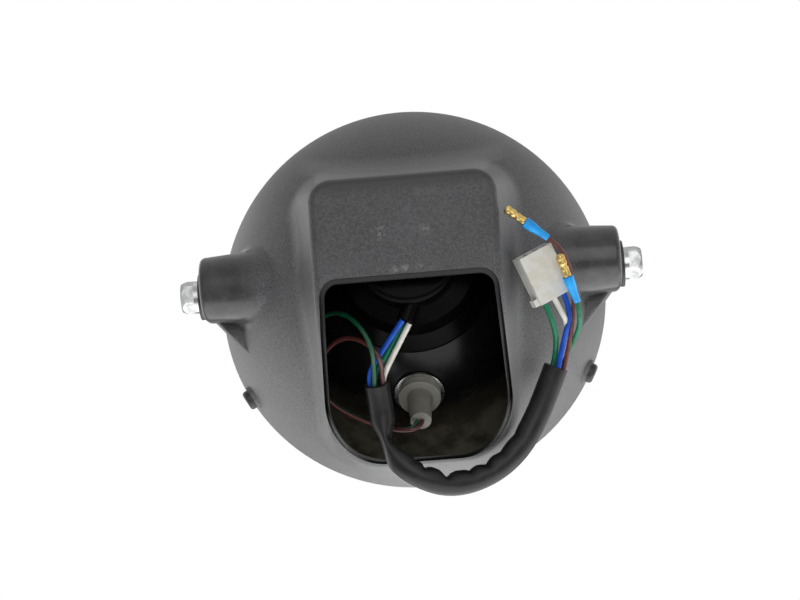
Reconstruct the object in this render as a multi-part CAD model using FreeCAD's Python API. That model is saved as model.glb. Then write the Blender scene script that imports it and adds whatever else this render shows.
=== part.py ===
"""Round motorcycle headlight with a moulded bowl, a cable collar at the back and a short loom.

Frame: the origin is the middle of the pivot line through the two side bolts. +X is right seen
from behind, +Y is the way the beam points, +Z is up. Lengths are millimetres. "Depth" is measured
backwards from the front edge of the bowl, so a depth of 0 is the plane where the rim seats.
"""
import FreeCAD, Part
import math
import os

Vector = FreeCAD.Vector

# Driving dimensions
# Bowl
front_edge_y = 32.0          # front edge of the bowl ahead of the pivot line
dome_radius = 88.6           # outer sphere of the bowl
dome_centre_ahead = 10.0     # centre of that sphere ahead of the front edge
wall = 2.6

# Collar at the back of the bowl
collar_stand = 11.4          # how far the flat rear panel stands behind the dome
collar_half_width = 39.3
collar_flare = 0.30          # sideways draft of the side walls
collar_hub = 2.0             # where the side walls stop short of the bend's axis
collar_top = 31.0            # height of the panel's top edge
collar_top_slope = 0.45      # rise of the top wall for each millimetre forward
collar_bend_radius = 60.0
collar_bend_angle = 38.0     # how far the lower face leans forward
collar_bottom_rise = 3.73    # height of the collar's bottom over the bowl's lowest point
collar_top_corner = 11.0
collar_top_corner_root = 30.0
collar_low_corner = 26.0
collar_low_corner_root = 45.0
collar_rim_round = 3.5
collar_root_fillet = 12.0

# Cable opening in the collar and the ledge round it
opening_top = -13.2
opening_sill = 3.3           # what stays under the opening
opening_side = 4.1           # what stays beside the opening, at the top
opening_spread = 2.8         # how much wider each side is where the lower corners start
opening_low_rise = 23.0      # height of that level over the sill
opening_top_corner = 6.0
opening_low_corner = 22.0
ledge_width = 1.9
ledge_depth = 1.2

# Side bosses, inserts and pivot bolts
boss_stand = 14.2            # how far a boss stands out from the dome, on the pivot line
boss_radius = 12.0           # round the bolt
boss_back_radius = 14.0      # the fuller half behind the bolt
boss_back = 8.0              # how far its middle lies behind the pivot line
boss_back_rise = 1.0
boss_draft = 0.07            # growth of both radii for each millimetre inwards
boss_core_wall = 4.0         # wall round the insert, inside the bowl
boss_root_fillet = 4.0
boss_edge_round = 2.6
gusset_start = 1.0           # rear face of the web under a boss, ahead of the pivot line
gusset_width = 12.0
gusset_drop = 16.0           # how far the web reaches down
gusset_round = 1.5
insert_radius = 6.0
insert_flange_radius = 9.6
insert_flange = 0.5
insert_length = 16.0
bolt_radius = 4.0
bolt_clearance = 0.15
bolt_length = 20.0
bolt_head_flats = 13.0
bolt_head = 5.9
bolt_face_step = 0.3         # from a flat of the head to the edge of its round face
flat_washer_radius = 10.3
flat_washer = 1.6
flat_washer_round = 0.3
spring_washer_radius = 7.2
spring_washer = 2.2
spring_washer_split = 1.2

# Front rim
rim_inset = 1.4              # how far the rim stays inside the bowl's edge
rim_sheet = 1.0
rim_lip_step = 5.0           # from the skirt to the lip that holds the glass
rim_front = 11.0             # how far the rim stands ahead of the bowl
rim_roll = 7.0
rim_skirt_gap = 0.6
rim_skirt_length = 14.0

# Rim screws, square nuts and the pads they bear on
screw_angle = 29.4           # below the horizontal, on both sides
screw_depth = 8.0
screw_pad_stand = 0.65       # how far a pad stands out from the dome
screw_pad_radius = 5.6
screw_head_radius = 4.5
screw_head = 3.0
screw_slot = 1.0
screw_radius = 2.5
screw_length = 11.0
screw_clearance = 0.25
nut_side = 9.0
nut_thickness = 3.2
nut_gap = 0.2

# Lens, gasket and reflector
lens_side_gap = 0.8
lens_flange = 3.5
lens_bulge = 15.0
lens_thickness = 3.5
lens_lip_gap = 0.5
flute_count = 11
flute_pitch = 12.0
flute_depth = 0.9
flute_radius = 8.0
gasket = 2.0
gasket_width = 3.6
reflector_sheet = 1.0
reflector_flange = 5.2
mirror_points = 6            # on each smooth curve of the mirror
neck_inner = 19.0
neck_outer = 21.5
neck_length = 4.3
clip_count = 4
clip_first_angle = 45.0
clip_arc = 8.0
clip_sheet = 0.6
clip_length = 10.0
clip_foot = 4.0

# Main bulb, its plug and the dust boot
bulb_flange_radius = 21.0
bulb_flange = 2.0
bulb_can_radius = 10.5
bulb_can_ahead = 5.0
bulb_glass_radius = 8.5
bulb_glass_length = 38.0
bulb_block_radius = 11.0
bulb_block = 4.0
blade_count = 3
blade_width = 7.8
blade_thickness = 0.8
blade_length = 9.0
blade_offset = 6.5
lock_ring_inner = 13.0
lock_ring_radius = 20.4
lock_ring = 1.2
lock_notch_count = 3
lock_notch_angle = 30.0      # of the first notch, from the right
plug_radius = 14.0
plug_length = 8.0
plug_gap = 1.0
blade_clearance = 0.2
boot_room = 7.4              # between the boot and the collar's panel
boot_height = 18.0
boot_wall = 2.0
boot_base_radius = 36.5
boot_waist_radius = 29.0
boot_end_radius = 22.0
boot_end_round = 3.0
boot_seat_gap = 0.3
spout_radius = 3.8
spout_start = (2.4, -7.0, -16.0)    # depths from the boot's end
spout_end = (-3.0, -6.5, -28.5)

# Parking lamp in the lower half of the reflector
parking_ring_gap = 3.5       # between the boot's base and the lamp's ring
parking_hole = 5.2
parking_ring_radius = 11.0
parking_ring = 1.0
parking_flange_radius = 9.2
parking_flange = 3.2
parking_stem_radius = 5.6
parking_stem_tip_radius = 4.5
parking_stem = 15.5
parking_bulb_radius = 4.6
parking_bulb_length = 17.0
parking_bulb_tip = 0.5       # flat left at the bulb's round end
parking_fit = 0.1

# Loom: diameters, routes as (x, depth, z) and how the wires stand on what they leave
cord_bend_share = 0.45       # share of a straight run that a bend may take
wire_diameter = 2.4
thin_wire_diameter = 2.0
sleeve_diameter = 10.6
sleeve_route = [
    (-17.1, 62.0, -51.7), (-16.7, 57.0, -59.8), (-15.2, 55.0, -68.6), (-12.4, 55.6, -77.4),
    (-7.4, 57.0, -86.1), (-0.3, 56.0, -92.4), (8.8, 53.0, -95.4), (19.0, 50.0, -94.6),
    (30.9, 48.0, -89.8), (41.0, 46.6, -81.4), (48.4, 46.4, -70.6), (54.5, 48.2, -59.0),
    (59.6, 51.4, -48.3)]
sleeve_ring = 3.0            # radius of the ring on which the wires leave the sleeve
sleeve_wires = 5
sleeve_first_angle = 36.0
spout_ring = 2.0             # radius of the ring on which three wires leave the boot's spout
stem_pitch = 2.4             # distance between the two wires of the parking lamp
lamp_brown_middle = [
    (-15.4, 73.6, -42.6), (-21.4, 69.4, -34.6), (-29.0, 64.0, -31.2), (-36.6, 57.0, -32.4),
    (-42.2, 50.4, -37.6), (-44.0, 45.6, -45.4), (-40.2, 43.2, -53.2), (-33.2, 43.0, -59.2),
    (-25.2, 43.8, -63.6), (-16.8, 45.6, -67.4), (-8.6, 49.0, -70.8)]
lamp_green_middle = [
    (-19.6, 77.4, -39.0), (-24.6, 75.6, -29.0), (-30.4, 66.4, -20.8), (-37.0, 57.6, -17.6),
    (-43.4, 49.6, -20.6), (-47.6, 43.6, -28.8), (-47.6, 39.8, -38.6), (-43.6, 38.6, -48.2),
    (-36.4, 39.0, -55.8), (-27.5, 39.8, -61.2), (-18.0, 41.0, -65.2), (-9.2, 43.6, -69.8),
    (-3.2, 47.4, -73.6)]
tail_brown_middle = [
    (68.4, 59.5, -35.5), (70.8, 65.0, -27.0), (71.6, 69.6, -17.6), (69.4, 74.6, -9.0)]
tail_thin_green_middle = [(70.6, 57.2, -38.2), (73.2, 65.0, -34.4)]
tail_blue_middle = [(66.4, 60.6, -36.4)]
wire_lead = 9.0              # straight length at the end of a thick wire
lead_white_lead = 12.0       # longer, to pass under its neighbour
sleeve_lead = 7.5            # the same where the wires go into the sleeve's inner end
thin_wire_lead = 7.0
lamp_brown_lead = 4.6        # at the parking lamp, where the wire folds over
lamp_green_lead = 6.4
bullet_lead = 5.5

# Connector block at the end of the loom
connector_place = (60.4, 69.2, -21.9)
connector_along = (-0.367, 0.342, 0.865)
connector_facing = (0.30, 0.93, -0.20)
connector_length = 21.6
connector_width = 16.0
connector_height = 9.6
connector_wall = 1.2
connector_floor = 6.0
connector_ways = 3
connector_pitch = 4.8
connector_round = 0.7
latch_length = 9.0
latch_ramp = 7.2             # where the latch's ramp ends
latch_width = 4.6
latch_height = 1.5
foot_length = 3.0
foot_height = 1.8
pin_width = 2.4
pin_length = 13.0
pin_thickness = 0.8

# Bullet terminals
bullet_radius = 1.9
bullet_neck_radius = 1.4
bullet_head_length = 3.4
bullet_neck_length = 1.2
bullet_length = 10.0
bullet_bore = 0.9
bullet_tail_length = 4.0
bullet_sleeve_radius = 2.35
bullet_sleeve_tail_radius = 1.7
bullet_sleeve_length = 11.8
bullet_one_root = (59.6, 83.0, 0.4)
bullet_one_tip = (42.9, 87.2, 13.4)
bullet_two_root = (69.9, 74.0, -26.0)
bullet_two_tip = (63.0, 84.0, -5.4)

# Worked out from the driving dimensions
axis_point = Vector(0, front_edge_y, 0)
forward = Vector(0, 1, 0)
dome_centre = Vector(0, front_edge_y + dome_centre_ahead, 0)
far = 3.0 * dome_radius


def ball_radius(ball, depth):
    """Radius about the lamp's axis of a ball round the dome's centre, at a depth."""
    return math.sqrt(ball ** 2 - (dome_centre_ahead + depth) ** 2)


edge_radius = ball_radius(dome_radius, 0.0)
collar_depth = dome_radius - dome_centre_ahead + collar_stand
collar_length = collar_bend_radius - collar_hub
collar_bottom = collar_bottom_rise - edge_radius
opening_bottom = collar_bottom + opening_sill
opening_low_level = opening_bottom + opening_low_rise
opening_half_top = collar_half_width - opening_side
opening_half_low = opening_half_top + opening_spread
boss_end = ball_radius(dome_radius, front_edge_y) + boss_stand
rim_radius = edge_radius - rim_inset
rim_skirt_radius = ball_radius(dome_radius - wall, rim_skirt_length) - rim_skirt_gap
rim_lip_radius = rim_skirt_radius - rim_lip_step
screw_seat = ball_radius(dome_radius, screw_depth) + screw_pad_stand
lens_front = rim_sheet - rim_front
lens_back = lens_front + lens_flange
lens_flange_radius = rim_skirt_radius - rim_sheet - lens_side_gap
reflector_front = lens_back + gasket
reflector_back = reflector_front + reflector_sheet
reflector_mouth = lens_flange_radius - reflector_flange
boot_end = collar_depth - wall - boot_room
neck_end = boot_end - boot_height
mirror_dish = neck_end - neck_length - reflector_back
mirror_four_f = (reflector_mouth ** 2 - neck_inner ** 2) / mirror_dish
parking_height = -boot_base_radius - parking_ring_gap - parking_ring_radius
bulb_flange_back = neck_end + bulb_flange
flat_washer_start = boss_end + insert_flange
spring_washer_start = flat_washer_start + flat_washer
bolt_head_start = spring_washer_start + spring_washer


def at(x, depth, z):
    """A point at a sideways place, a depth behind the front edge and a height."""
    return Vector(x, front_edge_y - depth, z)


def face_of(points):
    """A flat face with straight sides."""
    return Part.Face(Part.makePolygon(points + points[:1]))


def turned(steps, angle=360.0, start=0.0):
    """A solid of revolution about the lamp's axis.

    A step is (radius, depth) for a straight side, ((radius, depth), (radius, depth)) for an arc
    through the first point to the second, or a list of points for a smooth curve through them.
    """
    edges = []
    place = at(steps[0][0], steps[0][1], 0)
    first = place
    for step in steps[1:] + steps[:1]:
        if isinstance(step, list):
            curve = Part.BSplineCurve()
            curve.interpolate([place] + [at(radius, depth, 0) for radius, depth in step])
            edges.append(curve.toShape())
            end = at(step[-1][0], step[-1][1], 0)
        elif isinstance(step[0], tuple):
            middle = at(step[0][0], step[0][1], 0)
            end = at(step[1][0], step[1][1], 0)
            edges.append(Part.Arc(place, middle, end).toShape())
        else:
            end = at(step[0], step[1], 0)
            if (end - place).Length > 1e-6:
                edges.append(Part.LineSegment(place, end).toShape())
        place = end
    assert (place - first).Length < 1e-6
    face = Part.Face(Part.Wire(edges))
    face.rotate(axis_point, forward, -start)
    return face.revolve(axis_point, forward, -angle)


def rod(start, end, radius):
    """A round bar between two points."""
    along = end - start
    return Part.makeCylinder(radius, along.Length, start, along)


def ahead_of_edge(depth=0.0):
    """Everything ahead of a depth, as a block to cut away."""
    return Part.makeBox(2 * far, far, 2 * far, Vector(-far, front_edge_y - depth, -far))


def collar_solid(inset, top_corner, low_corner, rim_round):
    """The collar as a solid: flat panel, rolled bend and leaning face on flared side walls.

    inset moves every face inwards, so the same form makes the outside and the hollow.
    """
    depth = collar_depth - inset
    half = collar_half_width + collar_flare * inset - inset * math.hypot(1, collar_flare)
    top = collar_top + collar_top_slope * inset - inset * math.hypot(1, collar_top_slope)
    bottom = collar_bottom + inset
    bend_radius = collar_bend_radius - inset
    length = collar_length - inset
    front_half = half + collar_flare * length
    section = face_of([at(-half, depth, 0), at(half, depth, 0),
                       at(front_half, depth - length, 0), at(-front_half, depth - length, 0)])
    bend_axis = at(0, depth - bend_radius, 0)
    lean = math.radians(collar_bend_angle)
    leaning = section.copy()
    leaning.rotate(bend_axis, Vector(1, 0, 0), collar_bend_angle)
    reach = dome_radius + collar_depth
    solid = section.extrude(Vector(0, 0, reach)).fuse([
        section.revolve(bend_axis, Vector(1, 0, 0), collar_bend_angle),
        leaning.extrude(Vector(0, math.sin(lean), -math.cos(lean)) * reach)]).removeSplitter()
    side_view = face_of([at(-far, 2 * depth, top - collar_top_slope * depth),
                         at(-far, wall, top + collar_top_slope * (depth - wall)),
                         at(-far, wall, bottom), at(-far, 2 * depth, bottom)])
    solid = solid.common(side_view.extrude(Vector(2 * far, 0, 0)))
    corners = ((top_corner, collar_top_corner_root - inset, 1, top),
               (low_corner, collar_low_corner_root - inset, -1, bottom))
    for rear_radius, root_radius, upward, level in corners:
        for side in (-1, 1):
            solid = corner_rounded(solid, level, upward, side, rear_radius, root_radius)
    rim = [edge for edge in solid.Edges
           if on_collar_face(edge, depth, bend_radius) and not across_collar(edge, half)]
    return solid.makeFillet(rim_round, rim)


def corner_rounded(solid, level, upward, side, rear_radius, root_radius):
    """One long corner of the collar rounded, with a radius that grows towards the front."""
    for edge in solid.Edges:
        box = edge.BoundBox
        nearest = box.ZMin if upward > 0 else -box.ZMax
        lengthwise = box.YLength > wall and box.YLength > box.XLength > 0.01
        if lengthwise and nearest > upward * level - 0.01 and edge.CenterOfMass.x * side > 0:
            rear_first = edge.valueAt(edge.FirstParameter).y < edge.CenterOfMass.y
            radii = (rear_radius, root_radius) if rear_first else (root_radius, rear_radius)
            return solid.makeFillet(radii[0], radii[1], [edge])
    raise ValueError("the collar has no such corner")


def off_collar_face(point, depth, bend_radius):
    """How far a point lies in front of the collar's rear face."""
    back = front_edge_y - point.y - (depth - bend_radius)
    if point.z >= 0:
        return bend_radius - back
    turn = min(math.atan2(-point.z, back), math.radians(collar_bend_angle))
    return bend_radius - back * math.cos(turn) + point.z * math.sin(turn)


def on_collar_face(edge, depth, bend_radius):
    """Whether an edge lies in the collar's rear face."""
    return all(abs(off_collar_face(point, depth, bend_radius)) < 0.02
               for point in edge.discretize(5))


def across_collar(edge, half):
    """Whether an edge is a seam that crosses the rear face from side to side."""
    box = edge.BoundBox
    return box.XLength > 1.9 * half and box.ZLength < 0.01


def mirrored_pair(shape):
    """A shape and its mirror image on the other side of the lamp."""
    return [shape, shape.mirror(Vector(0, 0, 0), Vector(1, 0, 0))]


def screw_direction(side):
    """Outward direction of the rim screw on one side."""
    angle = math.radians(screw_angle)
    return Vector(side * math.cos(angle), 0, -math.sin(angle))


def screw_bar(side, inner, outer, radius):
    """A round bar on a rim screw's line, between two distances from the lamp's axis."""
    line = screw_direction(side)
    base = at(0, screw_depth, 0)
    return rod(base + line * inner, base + line * outer, radius)


def boss_outline(x):
    """Outline of the right boss across the pivot line: a circle round the bolt and a fuller one."""
    growth = boss_draft * (boss_end - x)
    bolt_side = Vector(x, 0, 0)
    back_side = Vector(x, -boss_back, boss_back_rise)
    small = boss_radius + growth
    large = boss_back_radius + growth
    along = back_side - bolt_side
    turn = math.degrees(math.acos((small - large) / along.Length))
    along.normalize()
    upper = FreeCAD.Rotation(Vector(1, 0, 0), -turn).multVec(along)
    lower = FreeCAD.Rotation(Vector(1, 0, 0), turn).multVec(along)
    return Part.Wire([
        Part.Arc(bolt_side + upper * small, bolt_side - along * small,
                 bolt_side + lower * small).toShape(),
        Part.LineSegment(bolt_side + lower * small, back_side + lower * large).toShape(),
        Part.Arc(back_side + lower * large, back_side + along * large,
                 back_side + upper * large).toShape(),
        Part.LineSegment(back_side + upper * large, bolt_side + upper * small).toShape()])


def boss_blank():
    """The right boss from inside the bowl to its rounded end."""
    boss = Part.makeLoft([boss_outline(boss_end / 2), boss_outline(boss_end)], True, True)
    end_edges = [edge for edge in boss.Edges if edge.BoundBox.XMin > boss_end - 0.01]
    return boss.makeFillet(boss_edge_round, end_edges)


def boss_web():
    """The web under the right boss, which slants from its end to the bowl."""
    outer = boss_end - boss_edge_round
    inner = boss_end - 2 * gusset_drop
    low = -boss_radius - gusset_drop
    web = face_of([Vector(outer, gusset_start, -boss_radius / 2),
                   Vector(outer, gusset_start, -boss_radius + boss_edge_round),
                   Vector(outer - gusset_drop, gusset_start, low),
                   Vector(inner, gusset_start, low),
                   Vector(inner, gusset_start, -boss_radius / 2)])
    web = web.extrude(Vector(0, gusset_width, 0))
    slant = [edge for edge in web.Edges
             if edge.BoundBox.YLength < 0.01 and edge.BoundBox.XLength > 0.01
             and edge.BoundBox.ZLength > gusset_drop]
    return web.makeFillet(gusset_round, slant)


def boss_roots(body):
    """The crease where the bosses leave the bowl."""
    sides = mirrored_pair(boss_blank().Shells[0])
    crease = []
    for edge in body.Edges:
        if edge.BoundBox.XLength > dome_radius or edge.Length < 0.1:
            continue
        points = edge.discretize(7)
        if max(abs(p.x) for p in points) > boss_end - boss_edge_round - 0.01:
            continue
        shell = sides[0] if points[0].x > 0 else sides[1]
        if all(Part.Vertex(p).distToShape(shell)[0] < 0.02 for p in points):
            crease.append(edge)
    return crease


def opening_cutter(margin):
    """A bar with the outline of the cable opening, grown by a margin, along the lamp's axis."""
    y = front_edge_y - 2 * collar_depth
    top = opening_top + margin
    bottom = opening_bottom - margin
    lean = (opening_half_low - opening_half_top) / (opening_top - opening_low_level)
    half_top = opening_half_top + margin
    half_bottom = half_top + lean * (top - bottom)
    outline = face_of([Vector(-half_top, y, top), Vector(half_top, y, top),
                       Vector(half_bottom, y, bottom), Vector(-half_bottom, y, bottom)])
    bar = outline.extrude(Vector(0, 2 * collar_depth - wall, 0))
    for level, radius in ((top, opening_top_corner), (bottom, opening_low_corner)):
        edges = [edge for edge in bar.Edges
                 if edge.BoundBox.YLength > wall and abs(edge.CenterOfMass.z - level) < 0.01]
        bar = bar.makeFillet(radius + margin, edges)
    return bar


def collar_form(inset):
    """The collar with every face moved inwards and its corners and rim rounded to suit."""
    return collar_solid(inset, collar_top_corner - inset, collar_low_corner - inset,
                        collar_rim_round - inset / 2)


def make_housing():
    """Moulded bowl: dome, collar and bosses in one wall, with its cable opening and bores."""
    dome = Part.makeSphere(dome_radius, dome_centre, forward).cut(ahead_of_edge())
    body = dome.fuse(collar_form(0.0))
    body = body.makeFillet(collar_root_fillet, root_edges(body))
    body = body.fuse(mirrored_pair(boss_blank()))
    body = body.makeFillet(boss_root_fillet, boss_roots(body))
    body = body.fuse(mirrored_pair(boss_web()))
    hollow = Part.makeSphere(dome_radius - wall, dome_centre, forward).cut(ahead_of_edge())
    hollow = hollow.fuse(collar_form(wall))
    body = body.cut(hollow).cut(opening_cutter(0.0))
    body = body.cut(opening_cutter(ledge_width).cut(collar_form(ledge_depth)))
    core = Part.makeCylinder(insert_radius + boss_core_wall, insert_length - boss_edge_round,
                             Vector(boss_end - insert_length, 0, 0), Vector(1, 0, 0))
    body = body.fuse(mirrored_pair(core))
    bore = Part.makeCylinder(insert_radius, 2 * far, Vector(-far, 0, 0), Vector(1, 0, 0))
    for side in (-1, 1):
        body = body.fuse(screw_bar(side, rim_skirt_radius, screw_seat, screw_pad_radius))
    body = body.cut(bore)
    for side in (-1, 1):
        hole = screw_radius + screw_clearance
        body = body.cut(screw_bar(side, rim_skirt_radius / 2, screw_seat + screw_head, hole))
        seat = screw_head_radius + screw_clearance
        body = body.cut(screw_bar(side, screw_seat, screw_seat + screw_head, seat))
    skirt_room = Part.makeCylinder(rim_skirt_radius, rim_skirt_length, axis_point, -forward)
    return body.cut(skirt_room).cut(ahead_of_edge()).removeSplitter()


def root_edges(body):
    """The crease where the collar leaves the dome."""
    crease = []
    for edge in body.Edges:
        points = edge.discretize(7)
        on_dome = all(abs((p - dome_centre).Length - dome_radius) < 0.02 for p in points)
        at_edge = all(abs(p.y - front_edge_y) < 0.02 for p in points)
        seam = all(abs(p.x) < 1e-3 for p in points) or all(abs(p.z) < 1e-3 for p in points)
        if on_dome and not at_edge and not seam and edge.Length > 0.5:
            crease.append(edge)
    return crease


def make_boss_inserts():
    """Flanged steel bushes moulded into the two bosses."""
    body = Part.makeCylinder(insert_radius, insert_length, Vector(boss_end, 0, 0), Vector(-1, 0, 0))
    flange = Part.makeCylinder(insert_flange_radius, insert_flange, Vector(boss_end, 0, 0),
                               Vector(1, 0, 0))
    bore = Part.makeCylinder(bolt_radius + bolt_clearance, far, Vector(0, 0, 0), Vector(1, 0, 0))
    return mirrored_pair(body.fuse(flange).removeSplitter().cut(bore))


def washer(start, thickness, radius):
    """A round washer on the pivot line, from a distance along it outwards."""
    disc = Part.makeCylinder(radius, thickness, Vector(start, 0, 0), Vector(1, 0, 0))
    bore = Part.makeCylinder(bolt_radius + 2 * bolt_clearance, thickness, Vector(start, 0, 0),
                             Vector(1, 0, 0))
    return disc.cut(bore)


def make_flat_washers():
    """Black washers under the spring washers."""
    disc = washer(flat_washer_start, flat_washer, flat_washer_radius)
    edges = [edge for edge in disc.Edges if edge.BoundBox.ZLength > 2 * flat_washer_radius - 0.01]
    return mirrored_pair(disc.makeFillet(flat_washer_round, edges))


def make_spring_washers():
    """Split spring washers, with the slanting gap at the top."""
    ring = washer(spring_washer_start, spring_washer, spring_washer_radius)
    gap = face_of([Vector(spring_washer_start, -spring_washer_split, 0),
                   Vector(spring_washer_start, 0, 0),
                   Vector(bolt_head_start, spring_washer_split, 0),
                   Vector(bolt_head_start, 0, 0)])
    return mirrored_pair(ring.cut(gap.extrude(Vector(0, 0, 2 * spring_washer_radius))))


def make_pivot_bolts():
    """Hexagon bolts with a chamfered head and a plain shank."""
    corner = bolt_head_flats / math.sqrt(3)
    points = [Vector(bolt_head_start, corner * math.sin(math.radians(60 * i)),
                     corner * math.cos(math.radians(60 * i))) for i in range(6)]
    head = face_of(points).extrude(Vector(bolt_head, 0, 0))
    crown = Part.makeCone(corner + bolt_head, bolt_head_flats / 2 - bolt_face_step, bolt_head + corner,
                          Vector(bolt_head_start - corner, 0, 0), Vector(1, 0, 0))
    shank = Part.makeCylinder(bolt_radius, bolt_length, Vector(bolt_head_start, 0, 0),
                              Vector(-1, 0, 0))
    return mirrored_pair(head.common(crown).fuse(shank))


def make_front_rim():
    """Pressed ring round the lens, with a skirt that the rim screws hold inside the bowl."""
    front = -rim_front
    roll = rim_roll
    inner = rim_radius - rim_sheet
    drop = rim_front - roll / 2
    bulge = 1 - math.sqrt(0.5)
    outside = ((rim_radius - roll * bulge, front + drop * bulge), (rim_radius - roll, front))
    inside = ((inner - (roll - rim_sheet) * bulge, front + rim_sheet + (drop - rim_sheet) * bulge),
              (inner, -roll / 2))
    ring = turned([
        (rim_radius, 0.0), (rim_radius, -roll / 2), outside, (rim_lip_radius, front),
        (rim_lip_radius, front + rim_sheet), (rim_radius - roll, front + rim_sheet), inside,
        (inner, -rim_sheet), (rim_skirt_radius - rim_sheet, -rim_sheet),
        (rim_skirt_radius - rim_sheet, rim_skirt_length), (rim_skirt_radius, rim_skirt_length),
        (rim_skirt_radius, 0.0)])
    for side in (-1, 1):
        ring = ring.cut(screw_bar(side, rim_skirt_radius / 2, rim_radius,
                                  screw_radius + 2 * screw_clearance))
    return ring


def make_rim_screws():
    """Pan-head screws that pull the rim into the bowl."""
    screws = []
    for side in (-1, 1):
        head = screw_bar(side, screw_seat, screw_seat + screw_head, screw_head_radius)
        line = screw_direction(side)
        base = at(0, screw_depth, 0)
        top = screw_seat + screw_head
        crown = [edge for edge in head.Edges if (edge.CenterOfMass - base).dot(line) > top - 0.01]
        head = head.makeFillet(screw_head / 2, crown)
        slot = Part.makeBox(2 * screw_head_radius, screw_slot, screw_slot,
                            Vector(-screw_head_radius, -screw_slot / 2, -screw_slot / 2))
        slot.Placement = FreeCAD.Placement(base + line * top,
                                           FreeCAD.Rotation(Vector(0, 0, 1), line))
        shank = screw_bar(side, screw_seat - screw_length, screw_seat, screw_radius)
        screws.append(head.cut(slot).fuse(shank))
    return screws


def make_rim_nuts():
    """Square nuts inside the rim's skirt."""
    nuts = []
    outer = rim_skirt_radius - rim_sheet - nut_gap
    for side in (-1, 1):
        line = screw_direction(side)
        block = Part.makeBox(nut_side, nut_side, nut_thickness,
                             Vector(-nut_side / 2, -nut_side / 2, -nut_thickness))
        block.Placement = FreeCAD.Placement(at(0, screw_depth, 0) + line * outer,
                                            FreeCAD.Rotation(Vector(0, 0, 1), line))
        hole = screw_bar(side, outer - 2 * nut_thickness, rim_radius,
                         screw_radius + screw_clearance / 2)
        nuts.append(block.cut(hole))
    return nuts


def make_lens():
    """Bulging glass with upright flutes on its inner face."""
    rim = rim_lip_radius - lens_lip_gap
    apex = lens_front - lens_bulge
    sphere = (rim ** 2 + lens_bulge ** 2) / (2 * lens_bulge)
    centre = apex + sphere
    half = rim / 2
    inner_sphere = sphere - lens_thickness
    inner_rim = math.sqrt(inner_sphere ** 2 - (centre - lens_back) ** 2)
    glass = turned([
        (lens_flange_radius, lens_back), (lens_flange_radius, lens_front), (rim, lens_front),
        ((half, centre - math.sqrt(sphere ** 2 - half ** 2)), (0.0, apex)),
        (0.0, apex + lens_thickness),
        ((half, centre - math.sqrt(inner_sphere ** 2 - half ** 2)), (inner_rim, lens_back))])
    for i in range(flute_count):
        x = (i - (flute_count - 1) / 2) * flute_pitch
        ring = math.sqrt(inner_sphere ** 2 - x ** 2)
        flute = Part.makeTorus(ring - flute_radius + flute_depth, flute_radius,
                               at(x, centre, 0), Vector(1, 0, 0))
        glass = glass.cut(flute)
    return glass


def make_lens_gasket():
    """Rubber ring between the glass and the reflector's flange."""
    outer = lens_flange_radius
    inner = lens_flange_radius - gasket_width
    return turned([(outer, lens_back), (outer, reflector_front), (inner, reflector_front),
                   (inner, lens_back)])


def mirror_depth(radius):
    """Depth of the mirror's inner face at a radius."""
    return reflector_back + (reflector_mouth ** 2 - radius ** 2) / mirror_four_f


def mirror_back(radius):
    """Depth of the reflector's outer face at a radius."""
    return mirror_depth(radius) + reflector_sheet * math.hypot(1, 2 * radius / mirror_four_f)


def parking_frame():
    """Middle of the parking lamp on the reflector's outer face, and its outward direction."""
    radius = -parking_height
    slope = 2 * radius / mirror_four_f
    length = math.hypot(1, slope)
    return at(0, mirror_back(radius), parking_height), Vector(0, -1 / length, -slope / length)


def spread(first, last, count):
    """Evenly spaced values from the first to the last."""
    return [first + (last - first) * i / count for i in range(count + 1)]


def make_reflector():
    """Mirror bowl with a front flange, a neck for the bulb and a hole for the parking lamp."""
    back = spread(reflector_mouth + reflector_sheet, neck_outer, mirror_points)
    mirror = spread(neck_inner, reflector_mouth, mirror_points)
    shell = turned([
        (lens_flange_radius, reflector_front), (lens_flange_radius, reflector_back),
        (back[0], reflector_back), [(radius, mirror_back(radius)) for radius in back[1:]],
        (neck_outer, neck_end), (neck_inner, neck_end), (neck_inner, mirror_depth(neck_inner)),
        [(radius, mirror_depth(radius)) for radius in mirror[1:]],
        (reflector_mouth, reflector_front)])
    place, out = parking_frame()
    reach = out * parking_ring_radius
    return shell.cut(rod(place - reach, place + reach, parking_hole))


def make_reflector_clips():
    """Spring clips between the reflector's flange and the rim's skirt."""
    skirt = rim_skirt_radius - rim_sheet
    foot = reflector_back + clip_sheet
    clips = []
    for i in range(clip_count):
        start = clip_first_angle + i * 360.0 / clip_count - clip_arc / 2
        clips.append(turned([
            (skirt, reflector_back), (skirt, foot + clip_length),
            (skirt - clip_sheet, foot + clip_length), (skirt - clip_sheet, foot),
            (skirt - clip_foot, foot), (skirt - clip_foot, reflector_back)], clip_arc, start))
    return clips


def make_bulb_glass():
    """Glass finger of the main bulb, inside the mirror."""
    root = neck_end - bulb_can_ahead
    tip = root - bulb_glass_length
    shoulder = tip + bulb_glass_radius
    round_over = bulb_glass_radius * math.sqrt(0.5)
    return turned([(0.0, root), (bulb_glass_radius, root), (bulb_glass_radius, shoulder),
                   ((round_over, shoulder - round_over), (0.0, tip))])


def make_bulb_base():
    """Metal can and flange of the main bulb with the insulating block behind."""
    root = neck_end - bulb_can_ahead
    end = bulb_flange_back + bulb_block
    return turned([(0.0, root), (bulb_can_radius, root), (bulb_can_radius, neck_end),
                   (bulb_flange_radius, neck_end), (bulb_flange_radius, bulb_flange_back),
                   (bulb_block_radius, bulb_flange_back), (bulb_block_radius, end), (0.0, end)])


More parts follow.
